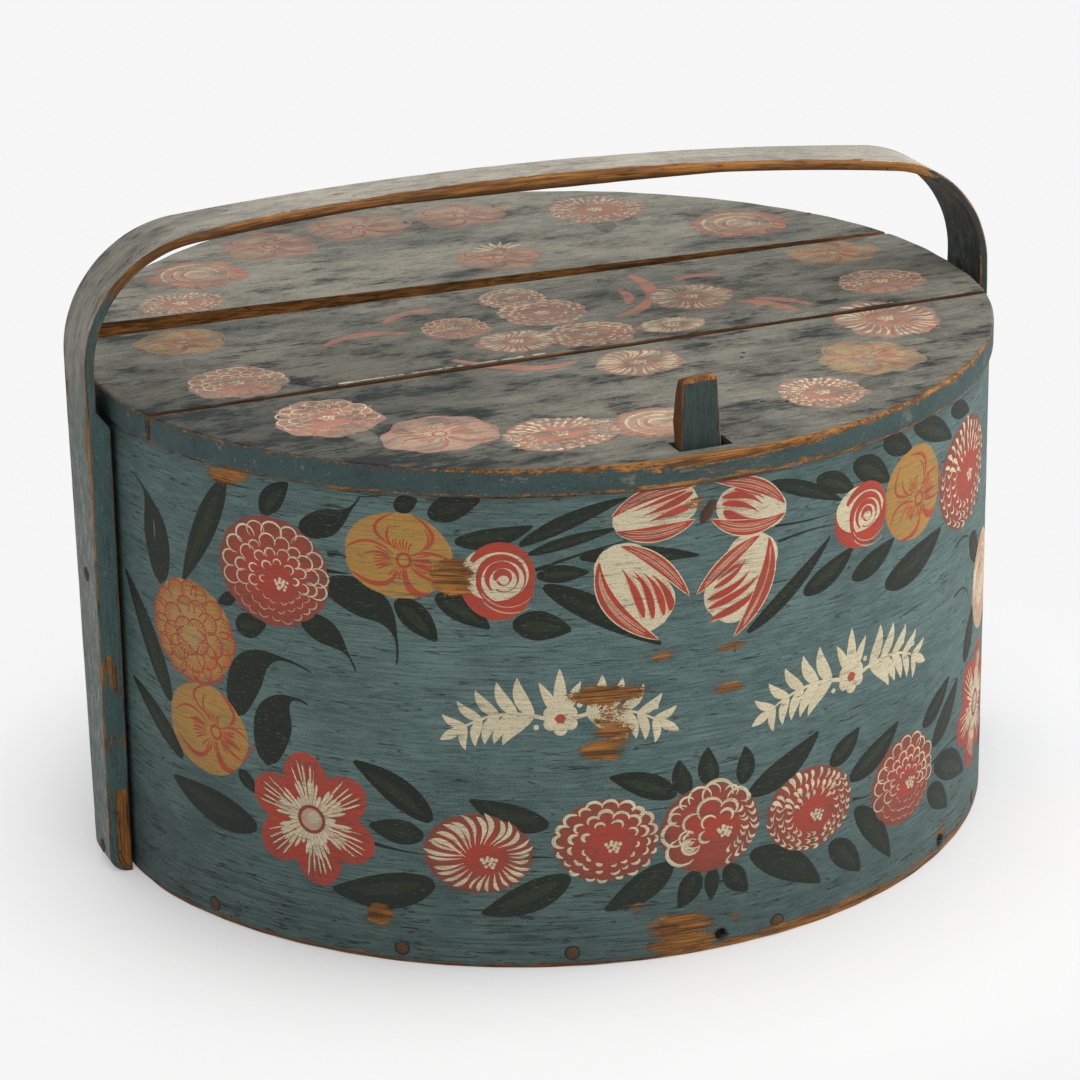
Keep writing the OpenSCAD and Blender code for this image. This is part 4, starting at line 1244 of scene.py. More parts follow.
def petal_flower(painting, tones, centre, span, turn, rim):
    """Six red petals streaked with cream round a cream middle with a red ring."""
    centre = np.array(centre, float)
    turns = np.radians(turn + 60 * np.arange(6))
    petals = centre + unit(turns) * 0.29 * span
    painting.disc(petals, (0.46 * span, 0.37 * span), tones["red"], 1, 0, 0.0, turns, 6, 28)
    flower = Flower(painting, centre, (span, span))
    for middle in np.degrees(turns):
        for ring, spread, tone, half in PETAL_STREAKS:
            flower.rays([ring], middle - spread, middle + spread, tones[tone], half, 0.0, 3)
    painting.disc(centre, 0.36 * span, tones["pale"], 4, 11, 0.14)
    flower.rays([(0.14, 0.42, 30)], 0, 360, tones["cream"], 0.8, 0.0, 5)
    ring = centre + unit(np.linspace(0, 2 * math.pi, 40)) * rim
    painting.disc(centre, 2 * rim, tones["pale"], 6, rings=4)
    painting.stroke(ring[None], 0.95, tones["rose"], 7)
    painting.disc(centre + np.array([0.8, 0.9]), (1.1 * rim, 1.0 * rim), tones["cream"] * 0.9, 7, rings=4)


def spiral_rose(painting, tones, centre, size, eye):
    """Cream rose with red rings round its eye, and a plain red lower part."""
    flower = Flower(painting, centre, size, eye)
    cream, red = tones["cream"], tones["red"]
    flower.ground(red, red, 0, 0.0)
    far = float(min(size)) / 2
    cap = flower.centre + flower.half * np.array([-0.04, 0.24])
    painting.disc(cap, flower.half * np.array([1.82, 1.46]), cream, 2)
    flower.rings([far * 0.19, far * 0.40, far * 0.62], red, far * 0.105, 352, 200, 3)
    arcs = ((0.86, "red", 0.14, 175, -25), (0.74, "red", 0.06, 120, 160), (0.80, "pale", 0.05, 110, 215),
            (0.96, "pale", 0.04, 80, 230))
    for share, tone, half, sweep, start in arcs:
        flower.rings([far * share], tones[tone], far * half, sweep, start, 3)


# Tulips: cups, sepals and streaks, each as start, control point and end on the wall, and width.
TULIP_CUPS = np.array([
    (-50, 213, -30, 218, -11, 222, 18), (-49, 204, -44, 184, -27, 165, 27),
    (33, 208, 17, 212, -2, 218, 17.5), (21, 200, 13, 182, -3, 163.5, 26.5),
])
TULIP_SEPALS = np.array([
    (-50, 217, -35, 230, -11, 228, 5.6), (-48, 210, -32, 204, -12, 212, 6.6),
    (-56, 196, -58, 173, -29, 157, 7), (-46, 203, -29, 198, -15, 176, 5.8), (32, 212, 21, 226, -3, 228, 6),
    (32, 207, 12, 199, -5, 211, 6.6), (19, 199, 4, 193, -12, 176, 6), (24, 197, 28, 176, 6, 153, 7),
])
TULIP_STREAKS = np.array([
    (-38, 216, -25, 219, -13, 225, 3.4), (-35, 213, -25, 216, -13, 219, 3.4),
    (-44, 218, -30, 222, -16, 226, 2), (-47, 194, -40, 184, -36, 168, 3.6),
    (-42, 192, -33, 184, -32, 167, 3.4), (-38, 191, -28, 183, -27, 168, 3.2),
    (-34, 190, -23, 180, -24, 170, 3.4), (-44, 190, -34, 186, -34, 178, 1.8),
    (22, 212, 14, 222, 0, 220, 3.4), (20, 209, 12, 217, 0, 217, 3.2), (20, 207, 8, 207, 1, 214, 4.4),
    (23, 214, 17, 222, 6, 223, 2.4), (13, 191, 9, 182, -4, 178, 2.6), (15, 185, 10, 176, -7, 173, 3.4),
    (20, 182, 14, 174, -7, 168.5, 3.4), (22, 178, 15, 168, -5, 163.5, 3.8), (15, 187, 5, 188, -2, 182, 3),
])


def tulips(painting, tones):
    """Four tulip buds: cream cups, red sepals with cream edges, and red streaks towards the tips."""
    cream, red, pale = tones["cream"], tones["red"], tones["pale"]
    t = np.linspace(0, 1, 40)
    swell = 1 - (1 - np.clip(t / 0.34, 0, 1)) ** 2.4
    close = 1 - np.clip((t - 0.72) / 0.28, 0, 1) ** 2.6
    cup = swell ** 0.5 * close ** 0.5
    painting.leaf(table_curves(TULIP_CUPS, 40), TULIP_CUPS[:, 6:7] / 2 * cup, cream, 1)
    lines = table_curves(TULIP_STREAKS, 40)
    width = TULIP_STREAKS[:, 6:7] * (np.sin(math.pi * t ** 2.0) ** 0.7 * 0.72)
    for shift in (-2.0, -1.2, 1.2, 2.0):
        painting.stroke(lines + np.array([0.5 * shift, shift]), width * 0.18, pale, 1.5)
    painting.stroke(lines, width * 0.85, painting.vary(red, len(lines), 0.1), 2)
    lines = table_curves(TULIP_SEPALS, 40)
    width = TULIP_SEPALS[:, 6:7] * (np.sin(math.pi * (0.04 + 0.96 * t) ** 1.1) ** 0.75 * 0.62)
    painting.leaf(lines, width + 0.05, cream, 3)
    painting.leaf(lines, np.maximum(width - 0.3, 0.03), red, 4)
    for shift, thick in ((-1.6, 0.06), (-0.7, 0.10), (0.7, 0.10), (1.6, 0.06)):
        drift = np.array([0.25 * shift, shift])
        painting.stroke(lines[:, 4:-5] + drift, (width * thick)[:, 4:-5], pale, 5)


# Leaves of the wall's garland: base, tip, width, and sideways sag as a share of the length.
WALL_LEAVES = np.array([
    (-231, 223, -262, 165, 14, 0), (-274, 101, -313, 158, 15, -0.04), (-267, 75, -311, 104, 12, -0.05),
    (-220, 54, -277, 65, 19, 0.03), (-231, 81, -220, 71, 8, 0), (-229, 152, -211, 157, 13, 0),
    (-228, 167, -239, 161, 7, 0), (-211, 209, -196, 227, 12, 0.06), (-132, 71, -170, 98, 15, -0.05),
    (-136, 64, -163, 67, 13, 0), (-131, 42, -183, 32, 19, 0.05), (-146, 221, -135, 226, 9, 0),
    (-131, 218, -107, 227, 13, 0.03), (-120, 207, -84, 215, 10, -0.05), (-92, 205, -42, 226, 8, 0.03),
    (-88, 201, -46, 212, 6, 0.02), (-66, 199, -9, 194.5, 9, 0.03), (-84, 191, -60, 192, 9, 0.02),
    (-129, 181, -104, 166, 13, 0.05), (-147, 178, -128, 159, 14, 0.05), (-95, 168, -68, 165, 15, 0.04),
    (-82, 187, -27, 154, 13, 0.02), (-79, 71, -116, 84, 14, 0.05), (-21, 80, -53, 93, 13, -0.04),
    (-15, 80, -20, 98, 10, 0.09), (-3, 82, -6, 102, 11, 0.09), (10, 80, 12, 99, 10, -0.09),
    (-70, 46, -112, 27, 16, 0.04), (-23, 48, -56, 27, 15, 0.04), (-12, 42, -21, 24, 12, 0.05),
    (-4, 42, -5, 25, 8, 0), (3, 42, 14, 26, 12, -0.05), (23, 223, 66, 205, 8, 0.03),
    (49, 219, 73, 208, 11, 0.05), (71, 221, 97, 206, 14, 0.05), (91, 226, 114, 216, 12, 0.04),
    (114, 227, 153, 210, 13, 0.04), (12, 153, 59, 191, 8, -0.03), (42, 166, 73, 182, 12, -0.05),
    (71, 166, 101, 178, 12, -0.05), (93, 156, 143, 170, 17, -0.05), (13, 74, 53, 97, 14, -0.06),
    (59, 77, 78, 91, 12, -0.04), (71, 66, 107, 85, 14, -0.05), (14, 45, 55, 19, 17, 0.05),
    (59, 38, 80, 17, 14, 0.04), (75, 51, 102, 16, 14, 0.04), (133, 39, 157, 21, 14, 0.04),
    (127, 74, 156, 90, 12, -0.04), (137, 60, 168, 85, 14, -0.04), (139, 49, 181, 30, 17, 0.05),
    (181, 150, 201, 131, 15, 0.05), (176, 88, 190, 113, 15, -0.06), (150, 224, 176, 216, 10, 0.03),
    (232, 150, 252, 176, 13, 0.05), (236, 92, 262, 74, 14, 0.05), (240, 60, 268, 82, 14, -0.05),
    (214, 34, 246, 24, 14, 0.04),
])

# Comma leaves with long tails: base, control point, end of the tail, and width.
WALL_COMMAS = np.array([
    (-278, 160, -279, 206, -296, 207, 20), (-231, 107, -223, 154, -187, 137, 19),
    (-214, 87, -209, 132, -190, 121, 21), (-193, 163, -171, 158, -166, 141, 13),
    (-181, 181, -141, 178, -147, 146, 18), (-192, 206, -168, 212, -161, 226, 13),
])

# Stems: start, control point, end, and width at the start in millimetres.
WALL_STEMS = np.array([
    (27, 202, 45, 200, 62, 201, 1.6), (29, 194, 45, 197, 62, 195, 1.6), (-92, 55, -85, 56, -78, 55, 1.8),
    (74, 56, 80, 54, 87, 54, 1.8), (-160, 58, -150, 56, -136, 55, 2.2), (138, 51, 152, 55, 168, 53, 1.8),
    (160, 153, 172, 158, 184, 149, 1.8), (160, 128, 180, 133, 185, 112, 1.6),
    (-178, 196, -172, 197, -168, 196, 2), (-179, 188, -174, 188, -168, 188, 2.6),
    (-84, 194, -60, 203, -40, 206, 2),
])


def wall_tones(palette):
    """The wall's paints as linear colours with full cover."""
    red, cream, ochre = linear(palette.red), linear(palette.cream), linear(palette.ochre)
    return {"red": red, "cream": cream, "ochre": ochre, "rose": linear(palette.rose),
            "leaf": linear(palette.leaf, 1.15), "pale": red * 0.45 + cream * 0.55,
            "coral": red * 0.92 + ochre * 0.08, "amber": ochre * 0.85 + red * 0.15}


def paint_leaves(painting, tint, leaves, stems):
    """Leaves and stems of a garland."""
    base, tip, width, sag = leaves[:, 0:2], leaves[:, 2:4], leaves[:, 4], leaves[:, 5]
    tints = painting.vary(tint, len(leaves), 0.15)
    painting.leaf(leaf_lines(base, tip, sag), leaf_half(width), tints, 0)
    way = tip - base
    lighter = painting.vary(tint * np.array([1.55, 1.6, 1.45, 1]), len(leaves), 0.25)
    veins = leaf_lines(base + 0.14 * way, base + 0.84 * way, sag * 0.8)
    painting.stroke(veins, leaf_half(width * 0.44), lighter, 0.5)
    taper = 1 - 0.8 * np.linspace(0, 1, 14)[None]
    painting.stroke(table_curves(stems, 14), stems[:, 6:7] / 2 * taper, tint, 0)


def paint_commas(painting, tint, commas):
    """Leaves with a round end and a long tail, each in one stroke."""
    t = np.linspace(0, 1, 34)
    swell = np.sqrt(1 - (1 - np.minimum(t / 0.28, 1)) ** 2)
    wide = swell * (1 - 0.94 * smooth(t, 0.28, 0.80)) * (1 - t ** 6)
    half = commas[:, 6:7] / 2 * wide + 0.3 * (t < 1)
    painting.leaf(table_curves(commas, 34), half, painting.vary(tint, len(commas), 0.15), 0)


def laurel(painting, tones, centre, span):
    """A cream spray: a blossom between two drooping stems with pairs of leaves and berries."""
    cream = tones["cream"]
    centre = np.array(centre, float)
    rows, pairs = 40, 5
    for side in (-1, 1):
        ends = centre + np.array([(side * 6, 0), (side * 0.26 * span, 7), (side * 0.42 * span, -5)])
        stem = curve(*ends, rows)
        painting.stroke(stem, 1.05 - 0.6 * np.linspace(0, 1, rows)[None], cream, 1)
        row = np.linspace(5, rows - 4, pairs).astype(int)
        foot = stem[0][row]
        heading = np.gradient(stem[0], axis=0)[row]
        turn = np.arctan2(heading[:, 1], heading[:, 0])
        size = np.linspace(20, 12, pairs)
        for up in (-1, 1):
            tip = foot + unit(turn + up * 0.98) * size[:, None]
            lines = leaf_lines(foot, tip, -0.12 * up, 14)
            painting.stroke(lines, leaf_half(size * 0.33, 14), painting.vary(cream, pairs, 0.06), 1)
        berry = foot + unit(turn + 1.9) * 5.5
        painting.disc(berry, 2.6, cream, 1, rings=2, columns=12)
        last = stem[0][-1]
        lines = leaf_lines(last, last + unit(turn[-1:]) * 11, 0.0, 14)
        painting.stroke(lines, leaf_half(4.6, 14), cream, 1)
    tip = centre + unit(np.radians(np.array([62.0, 90, 118]))) * np.array([20, 24, 20])[:, None]
    painting.stroke(leaf_lines(centre, tip, 0.0, 14), leaf_half(np.array([5.0, 6, 5]), 14), cream, 1)
    petals = centre + unit(np.radians(90 + 60 * np.arange(6))) * 5.2
    painting.disc(petals, 6.2, cream, 1, rings=3, columns=18)
    painting.disc(centre, 4.6, tones["coral"], 2, rings=3, columns=16)


# Flowers of the wall: middle, size and eye, with the style of a dahlia or the turn of a pansy.
WALL_DAHLIAS = (
    ((-207, 183), (60, 53), (-202, 178), "scallops"), ((-112, 57), (50, 40), (-107, 53), "feathers"),
    ((-54, 62), (49, 41), (-51, 59), "commas"), ((-5, 62), (49, 45), (2, 59), "bold"),
    ((48, 59), (50, 42), (52, 55), "dashes"), ((112, 53), (51, 45), (117, 50), "scallops"),
    ((172, 187), (66, 54), (178, 184), "dashes"),
)
WALL_PANSIES = (((-250, 96), (51, 45), (-244, 96), 0), ((-145, 199), (50, 41), (-142, 197), 0),
                ((116, 195), (46, 46), (120, 191), 30))
WALL_ROSES = (((-101, 188), (33, 35), (-98, 190)), ((77.5, 195), (34, 31), (81, 194.5)))


def paint_wall(painting, tones):
    """The garland of the wall: two sprays of leaves and flowers, and two plain sprigs between them."""
    paint_leaves(painting, tones["leaf"], WALL_LEAVES, WALL_STEMS)
    paint_commas(painting, tones["leaf"], WALL_COMMAS)
    for flower in WALL_DAHLIAS:
        dahlia(painting, tones, *flower)
    zinnia(painting, tones, (-257, 143), (54, 50), (-257, 140))
    pale = {**tones, "red": tones["pale"], "rose": tones["pale"]}
    spiral_rose(painting, pale, (213, 118), (46, 50), (213, 118))
    for flower in WALL_PANSIES:
        pansy(painting, tones, *flower)
    petal_flower(painting, tones, (-191, 65), 63, 98, 6.2)
    petal_flower(painting, tones, (200, 58), 62, 70, 6.0)
    for flower in WALL_ROSES:
        spiral_rose(painting, tones, *flower)
    tulips(painting, tones)
    laurel(painting, tones, (-74, 123), 106)
    laurel(painting, tones, (72, 118), 112)


def build_wall_painting(sizes, palette, material):
    """The wall's ornament as films of paint that follow the band, and a dark ring of painted shade round each
    peg.
    """
    oval = Oval(sizes)
    painting = Painting(5)
    paint_wall(painting, wall_tones(palette))
    # Dark rings in the grime colour round the pegs and the empty peg holes: painted shade of the gaps round
    # them.
    ways = [oval.along(math.radians(turn)) for turn in PEG_TURNS + LOST_TURNS]
    spots = np.array([(way, sizes.peg_height) for way in ways]) / MM
    rings = spots[:, None] + unit(np.linspace(0, 2 * math.pi, 25)) * (sizes.peg_radius / MM + 0.35)
    painting.stroke(rings, 0.55, linear(palette.grime), 1)
    place, lift, tint, faces = painting.gather()
    u, v = place[:, 0], np.clip(place[:, 1], 0, sizes.band_height - 1.2 * MM)
    points = oval.wall(u, v, lift + wall_relief(u, v, oval))
    wear = wall_wear(u, v, sizes)
    # The garland takes part of the wall's painted shade, and grime on worn places.
    fields = {"surface": np.stack([u, v, 0 * u], axis=-1), "wear": wear, "paint": tint, "cover": tint[:, 3],
              "grime_and_shade": wall_painted_shade(u, v) * 0.6 + wear_soot(wear, v)}
    add_piece("wall_garland", "box", material, points, faces, fields)


def lid_tones(palette):
    """The lid's paints: faded, with some of the ground showing through."""
    ground, grime = linear(palette.lid), linear(palette.grime)
    red, cream, ochre = linear(palette.red), linear(palette.cream), linear(palette.ochre)
    shares = {"red": (red * 0.78 + cream * 0.32, 0.95), "cream": (cream * 1.25, 0.92),
              "rose": (red * 0.50 + cream * 0.30 + ground * 0.25, 0.85),
              "ochre": (ochre * 0.65 + cream * 0.4, 0.88), "pale": (cream * 0.8 + red * 0.3, 0.85),
              "coral": (red * 0.8 + cream * 0.2, 0.95),
              "amber": (ochre * 0.6 + cream * 0.25 + red * 0.15, 0.8),
              # The holes' tone is painted shade inside them.
              "leaf": (grime * 1.6, 0.42), "hole": (grime * 0.4, 1.0)}
    return {name: np.append(tone[:3], cover) for name, (tone, cover) in shares.items()}


# Scrolls of the lid's bouquet: start, control point, end and width.
LID_SCROLLS = np.array([
    (-60, -45, -34, -82, -8, -71, 4.5), (97, -20, 112, -28, 118, -48, 4.5),
    (107, -20, 120, -26, 128, -41, 3.5), (35, -18, 52, -16, 60, 2, 4), (67, 40, 72, 18, 60, 0, 4.5),
    (52, 20, 56, 8, 47, -2, 3.5), (-108, 0, -86, 16, -64, 0, 4), (-70, 20, -58, 34, -40, 30, 3.5),
    (84, 22, 96, 30, 108, 20, 3.5),
])

# Small holes in the lid, painted as dark discs for the shade inside them.
LID_HOLES = np.array([
    (66.7, -93.2), (62.9, -99.3), (51, 180), (-1, 173), (-176.6, -74.6), (55, -164), (194, 97),
])

# Flowers of the lid as middle and size: dahlias by style, roses and pansies.
LID_DAHLIAS = {
    "scallops": [((-162, -33), (47, 45)), ((-141, -97), (48, 52)), ((-42, -2), (33, 33)),
                 ((175, -22), (45, 37))],
    "commas": [((5, 3), (43, 40)), ((13, -37), (45, 35)), ((0, 30), (32, 30))],
    "dashes": [((-54, -160), (54, 42)), ((75, -159), (40, 42)), ((97, 152), (50, 49)),
               ((-149, 92), (44, 32))],
    "feathers": [((80, -5), (42, 40)), ((-23, -32), (38, 32)), ((54, -41), (34, 22)), ((17, -85), (42, 37)),
                 ((150, -76), (50, 56))],
}
LID_ROSES = (((-127, 133), (50, 44)), ((154, 97), (50, 46)), ((-8, -165), (45, 38)))
LID_PINK_PANSIES = (((-103, -138), (54, 47)), ((-26, 175), (55, 45)), ((29, 172), (50, 41)),
                    ((20, 95), (44, 40)), ((-79, 163), (49, 47)))
LID_PANSIES = (((117, -124), (49, 49)), ((-167, 35), (43, 39)), ((175, 30), (47, 37)))

# How far from the middle of the lid a flower belongs to the bouquet, in millimetres.
BOUQUET = 110


def paint_lid(painting, tones):
    """The lid's worn wreath, and a bouquet in its middle."""
    flowers = [(style, *flower) for style, places in LID_DAHLIAS.items() for flower in places]
    ring = [centre for style, centre, size in flowers if math.hypot(*centre) > BOUQUET]
    foot = np.repeat(np.array(ring, float), 3, axis=0)
    turn = painting.rng.uniform(0, 2 * math.pi, len(foot))
    tip = foot + unit(turn) * painting.rng.uniform(34, 48, len(foot))[:, None]
    keep = np.linalg.norm(tip, axis=1) < 200
    foot, tip = foot[keep] + unit(turn[keep]) * 18, tip[keep]
    tints = painting.vary(tones["leaf"], len(foot), 0.3)
    painting.leaf(leaf_lines(foot, tip, 0.05), leaf_half(13.0), tints, 0)
    taper = np.sin(np.linspace(0.2, 3.0, 24)) ** 0.6
    painting.stroke(table_curves(LID_SCROLLS, 24), LID_SCROLLS[:, 6:7] * 0.8 * taper, tones["red"], 1)
    # Dark discs over the small holes: painted shade inside them.
    painting.disc(LID_HOLES, 2.0, tones["hole"], 6, rings=3, columns=14)
    dull = {**tones, "red": tones["rose"] * np.array([0.92, 0.78, 0.75, 1]),
            "cream": tones["cream"] * np.array([0.95, 0.9, 0.86, 0.9])}
    for style, centre, size in flowers:
        paints = dull if math.hypot(*centre) < BOUQUET else tones
        dahlia(painting, paints, centre, size, centre, style)
        Flower(painting, centre, size).rays([(0.45, 1.05, 15)], 0, 360, tones["coral"], 1.15, 0.5, 1.5)
    for centre, size in LID_ROSES:
        flower = Flower(painting, centre, size)
        flower.ground(tones["pale"], tones["red"], 9, 0.04)
        far = min(size) / 2
        flower.rings([far * 0.25, far * 0.5, far * 0.78], tones["cream"], far * 0.03, 290, 250, 2)
        flower.rings([far * 0.38, far * 0.64], tones["red"], far * 0.07, 260, 120, 2)
        flower.rays([(0.7, 1.05, 13)], 150, 360, tones["coral"], 1.3, 0.6, 1.5)
    pink = {**tones, "ochre": tones["pale"], "amber": tones["rose"]}
    for paints, places in ((pink, LID_PINK_PANSIES), (tones, LID_PANSIES)):
        for centre, size in places:
            pansy(painting, paints, centre, size, centre, 20)
    fan = np.radians(np.linspace(20, 160, 7))
    foot = np.array([25.0, 106]) + unit(fan) * 4
    lines = leaf_lines(foot, foot + unit(fan) * 11, 0.08, 12)
    painting.stroke(lines, leaf_half(2.4, 12), tones["cream"], 2)


def paint_flecks(painting, sizes, tint):
    """Flecks of paint left along the gap behind the front board."""
    count = 17
    left = np.linspace(-128, -26, count) + painting.rng.uniform(-3, 3, count)
    long = painting.rng.uniform(2, 9, count)
    level = sizes.middle_front / MM + painting.rng.uniform(1.5, 2.1, count)
    ends = [np.stack([left + share * long, level + rise], axis=-1)
            for share, rise in ((0, 0), (0.5, 0.3), (1, 0))]
    painting.stroke(curve(*ends, 8), painting.rng.uniform(0.3, 1.2, count)[:, None], tint, 2)


def build_lid_painting(sizes, palette, material):
    """The lid's ornament, cut where it meets the gaps between the boards."""
    painting = Painting(9, 0.04)
    tones = lid_tones(palette)
    paint_lid(painting, tones)
    paint_flecks(painting, sizes, tones["cream"])
    place, lift, tint, faces = painting.gather()
    x, y = place.T
    bright = 1 - 0.22 * smooth(y, 0.02, 0.12) + 0.14 * smooth(-y, 0.06, 0.12)
    tint = tint * np.stack([bright] * 3 + [np.ones(len(tint))], axis=-1)
    slope = (x + sizes.half_length) / (2 * sizes.half_length)
    gap = 1.4 * MM
    middle_rear = sizes.middle_left + (sizes.middle_right - sizes.middle_left) * slope
    rear_front = sizes.rear_left + (sizes.rear_right - sizes.rear_left) * slope
    bands = ((-1.0, sizes.front_edge - gap), (sizes.middle_front + gap, middle_rear - gap),
             (rear_front + gap, 1.0))
    points, kept = [], []
    for number, (low, high) in enumerate(bands):
        on_board = np.clip(y, low, high)
        inside = (on_board == y)[faces].any(axis=1)
        points.append(np.stack([x, on_board, sizes.lid_top + lift], axis=-1))
        kept.append(faces[inside] + number * len(place))
    used, back = np.unique(np.concatenate(kept), return_inverse=True)
    tint = np.tile(tint, (len(bands), 1))[used]
    add_piece("lid_wreath", "lid", material, np.concatenate(points)[used],
              back.reshape(-1, 4), {"paint": tint, "cover": tint[:, 3]})


class BentwoodOperator:
    """What the box's operators share."""
    bl_options = {"REGISTER", "UNDO"}

    def looks(self, context):
        """The sizes and colours that the user set."""
        return context.scene.bentwood_sizes, context.scene.bentwood_colours


class BENTWOOD_OT_side_band(BentwoodOperator, bpy.types.Operator):
    """Build the painted side band and its garland"""
    bl_idname = "bentwood.side_band"
    bl_label = "Side band"

    def execute(self, context):
        sizes, palette = self.looks(context)
        paint = old_paint("slate_paint", palette.wall, palette.wall_dark, palette,
                          grime=0.25, hold=0.58, crack=0.75)
        build_side_band(sizes, paint)
        build_wall_painting(sizes, palette, paint)
        return {"FINISHED"}


class BENTWOOD_OT_lid(BentwoodOperator, bpy.types.Operator):
    """Build the three lid boards and their faded wreath"""
    bl_idname = "bentwood.lid"
    bl_label = "Lid"

    def execute(self, context):
        sizes, palette = self.looks(context)
        paint = old_paint("worn_grey_paint", palette.lid, palette.lid_dark, palette,
                          grime=1.0, hold=0.54, crack=0.45, fade=0.82, follow=False)
        front_rear = edge_line(sizes, sizes.front_edge, sizes.front_edge)
        middle_front = edge_line(sizes, sizes.middle_front, sizes.middle_front)
        middle_rear = edge_line(sizes, sizes.middle_left, sizes.middle_right)
        rear_front = edge_line(sizes, sizes.rear_left, sizes.rear_right)
        boards = (("front", None, front_rear, True, 41), ("middle", middle_front, middle_rear, False, 42),
                  ("rear", rear_front, None, False, 43))
        for board, front, rear, slotted, seed in boards:
            build_lid_board(board + "_lid_board", "lid_" + board + "_board", sizes, palette, paint,
                            front, rear, slotted, seed)
        build_lid_painting(sizes, palette, paint)
        return {"FINISHED"}


class BENTWOOD_OT_handle(BentwoodOperator, bpy.types.Operator):
    """Build the bent strap handle"""
    bl_idname = "bentwood.handle"
    bl_label = "Handle"

    def execute(self, context):
        sizes, palette = self.looks(context)
        paint = old_paint("weathered_grey", palette.handle, palette.handle_dark, palette,
                          grime=0.40, hold=0.55, crack=0.5, fade=0.6)
        build_handle(sizes, palette, paint)
        return {"FINISHED"}


class BENTWOOD_OT_latch(BentwoodOperator, bpy.types.Operator):
    """Build the latch tongue"""
    bl_idname = "bentwood.latch"
    bl_label = "Latch tongue"

    def execute(self, context):
        sizes, palette = self.looks(context)
        paint = old_paint("latch_paint", palette.latch, palette.latch_dark, palette,
                          grime=0.2, hold=0.55, crack=0.6)
        build_tongue(sizes, paint)
        return {"FINISHED"}


class BENTWOOD_OT_fastenings(BentwoodOperator, bpy.types.Operator):
    """Build the whittled pegs and the forged nails"""
    bl_idname = "bentwood.fastenings"
    bl_label = "Pegs and nails"

    def execute(self, context):
        sizes, palette = self.looks(context)
        build_pegs(sizes, palette)
        build_nails(sizes, palette)
        return {"FINISHED"}


class BENTWOOD_OT_bare_wood(BentwoodOperator, bpy.types.Operator):
    """Finish the bare boards, battens and root sewing that keep their solids"""
    bl_idname = "bentwood.bare_wood"
    bl_label = "Bare wood"

    def execute(self, context):
        palette = context.scene.bentwood_colours
        pine = bare_wood("old_pine", palette.old, palette.old_dark)
        root = bare_wood("split_root", palette.root, palette.old_dark)
        finishes = {"bottom_": pine, "lid_batten_": pine, "seam_root_": root}
        for name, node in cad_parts.items():
            for start, finish in finishes.items():
                if name.startswith(start):
                    node.data.materials.clear()
                    node.data.materials.append(finish)
        return {"FINISHED"}


class BENTWOOD_OT_stage(BentwoodOperator, bpy.types.Operator):
    """Set the floor, the lights and the camera"""
    bl_idname = "bentwood.stage"
    bl_label = "Stage"

    def execute(self, context):
        build_floor(context.scene.bentwood_colours)
        build_lights()
        build_camera()
        context.scene.view_settings.view_transform = "Standard"
        return {"FINISHED"}


# Middle of the shadow on the floor, and where it begins to fade and is gone, in metres.
SHADOW_CENTRE = (0.03, -0.04, 0)
SHADOW_NEAR, SHADOW_FAR = 0.20, 0.37


def build_floor(palette):
    """A wide floor that takes the shadow near the box and is plain to the camera further off."""
    half = 30.0
    corner = np.array([(-half, -half, 0), (half, -half, 0), (half, half, 0), (-half, half, 0)])
    mesh = bpy.data.meshes.new("floor")
    mesh.from_pydata(corner.tolist(), [], [(0, 1, 2, 3)])
    material, start = open_material("pale_floor")
    tint = linear(palette.floor)
    lit = start.node("BsdfDiffuse", None, {"Color": tint})
    plain = start.node("Emission", None, {"Color": tint, "Strength": 1.0})
    place = start.place()
    away = start.node("VectorMath", {"operation": "DISTANCE"}, {0: place, 1: SHADOW_CENTRE}, 1)
    direct = start.node("LightPath") + start.node("LightPath", None, None, 3)
    seen = direct * (0.06 + away.step(SHADOW_NEAR, SHADOW_FAR) * 0.91)
    shader = start.node("MixShader", None, {0: seen, 1: lit, 2: plain})
    start.node("OutputMaterial", None, {"Surface": shader})
    mesh.materials.append(material)
    floor = bpy.data.objects.new("floor", mesh)
    bpy.context.scene.collection.objects.link(floor)


def build_lights():
    """An even sky that is white to the camera, and two wide soft suns."""
    world = bpy.data.worlds.new("studio")
    bpy.context.scene.world = world
    world.use_nodes = True
    world.node_tree.nodes.clear()
    start = Socket(world.node_tree)
    seen = start.node("LightPath")
    shown = start.node("Background", None, {"Color": (0.93, 0.93, 0.93, 1), "Strength": 1.0})
    lit = start.node("Background", None, {"Color": (1, 1, 1, 1), "Strength": 0.62})
    sky = start.node("MixShader", None, {0: seen, 1: lit, 2: shown})
    start.node("OutputWorld", None, {"Surface": sky})
    suns = (("key_sun", 1.40, 90, (24, 0, 50)), ("side_sun", 2.3, 60, (84, 0, 80)))
    for name, strength, spread, turn in suns:
        data = bpy.data.lights.new(name, "SUN")
        data.energy = strength
        data.angle = math.radians(spread)
        lamp = bpy.data.objects.new(name, data)
        lamp.rotation_euler = [math.radians(value) for value in turn]
        bpy.context.scene.collection.objects.link(lamp)


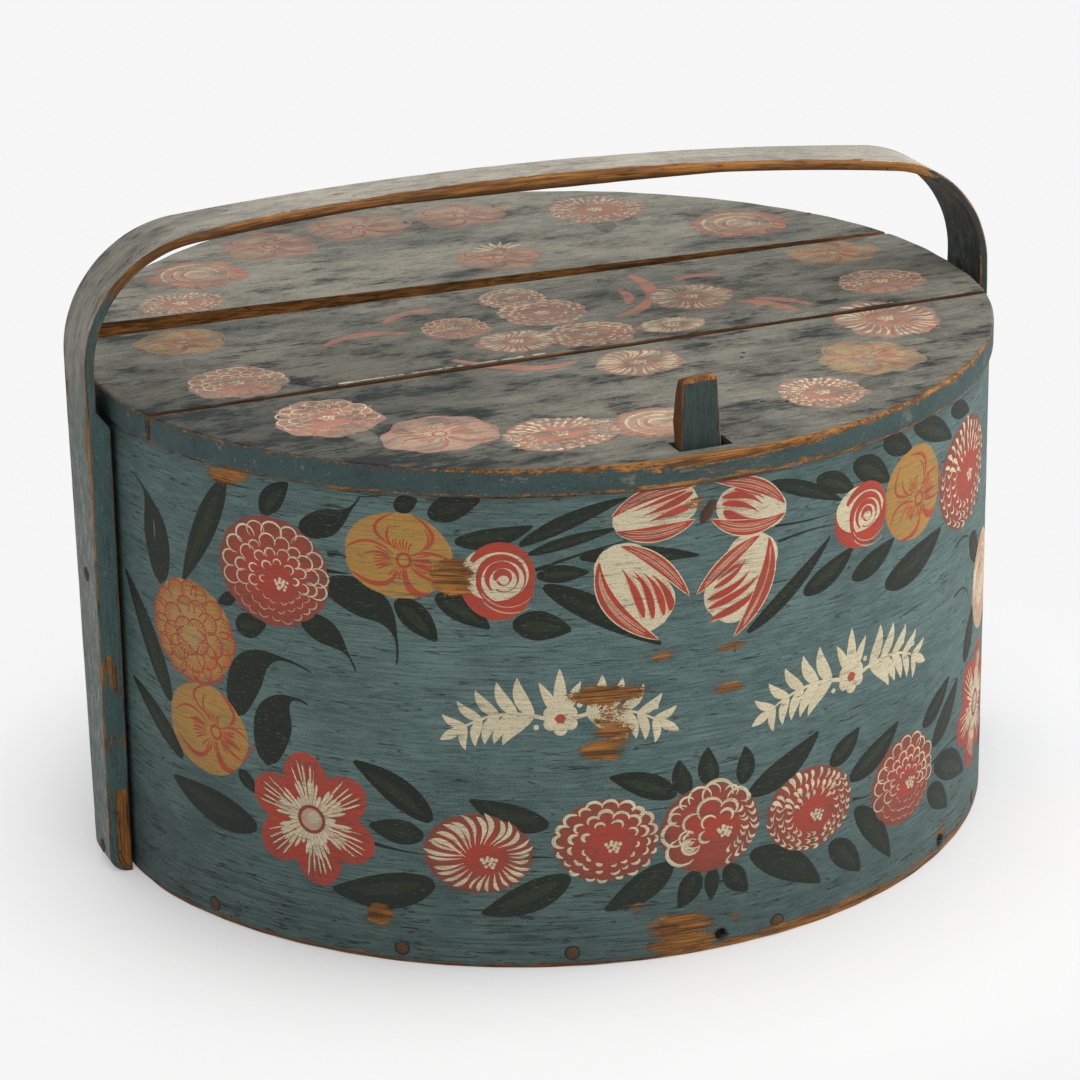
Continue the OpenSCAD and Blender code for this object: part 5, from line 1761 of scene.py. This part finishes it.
def build_camera():
    """The photograph's camera: place, heading, roll and lens."""
    place = (-0.70022, -1.71293, 0.84352)
    azimuth, elevation, roll = (math.radians(value) for value in (-22.25, 21.2, -0.96))
    data = bpy.data.cameras.new("camera")
    data.sensor_width = 36.0
    data.lens = 134.63
    camera = bpy.data.objects.new("camera", data)
    turn = Matrix.Rotation(azimuth, 4, "Z") @ Matrix.Rotation(math.pi / 2 - elevation, 4, "X")
    camera.matrix_world = Matrix.Translation(place) @ turn @ Matrix.Rotation(roll, 4, "Z")
    bpy.context.scene.collection.objects.link(camera)
    bpy.context.scene.camera = camera


class BENTWOOD_PT_panel(bpy.types.Panel):
    """Lists the box's operators in the sidebar"""
    bl_label = "Bentwood Box"
    bl_idname = "BENTWOOD_PT_panel"
    bl_space_type = "VIEW_3D"
    bl_region_type = "UI"
    bl_category = "Bentwood Box"

    def draw(self, context):
        for operator in OPERATORS:
            self.layout.operator(operator.bl_idname)


OPERATORS = (BENTWOOD_OT_stage, BENTWOOD_OT_side_band, BENTWOOD_OT_lid, BENTWOOD_OT_handle,
             BENTWOOD_OT_latch, BENTWOOD_OT_fastenings, BENTWOOD_OT_bare_wood)
CLASSES = (BoxSizes, BoxColours, *OPERATORS, BENTWOOD_PT_panel)


def register():
    """Registers the classes and the scene's settings."""
    for item in CLASSES:
        bpy.utils.register_class(item)
    bpy.types.Scene.bentwood_sizes = PointerProperty(type=BoxSizes)
    bpy.types.Scene.bentwood_colours = PointerProperty(type=BoxColours)


def unregister():
    """Removes the settings and the classes."""
    del bpy.types.Scene.bentwood_colours
    del bpy.types.Scene.bentwood_sizes
    for item in reversed(CLASSES):
        bpy.utils.unregister_class(item)


def main():
    """Builds the whole box."""
    register()
    bpy.ops.bentwood.stage()
    bpy.ops.bentwood.side_band()
    bpy.ops.bentwood.lid()
    bpy.ops.bentwood.handle()
    bpy.ops.bentwood.latch()
    bpy.ops.bentwood.fastenings()
    bpy.ops.bentwood.bare_wood()


if __name__ == "__main__":
    main()
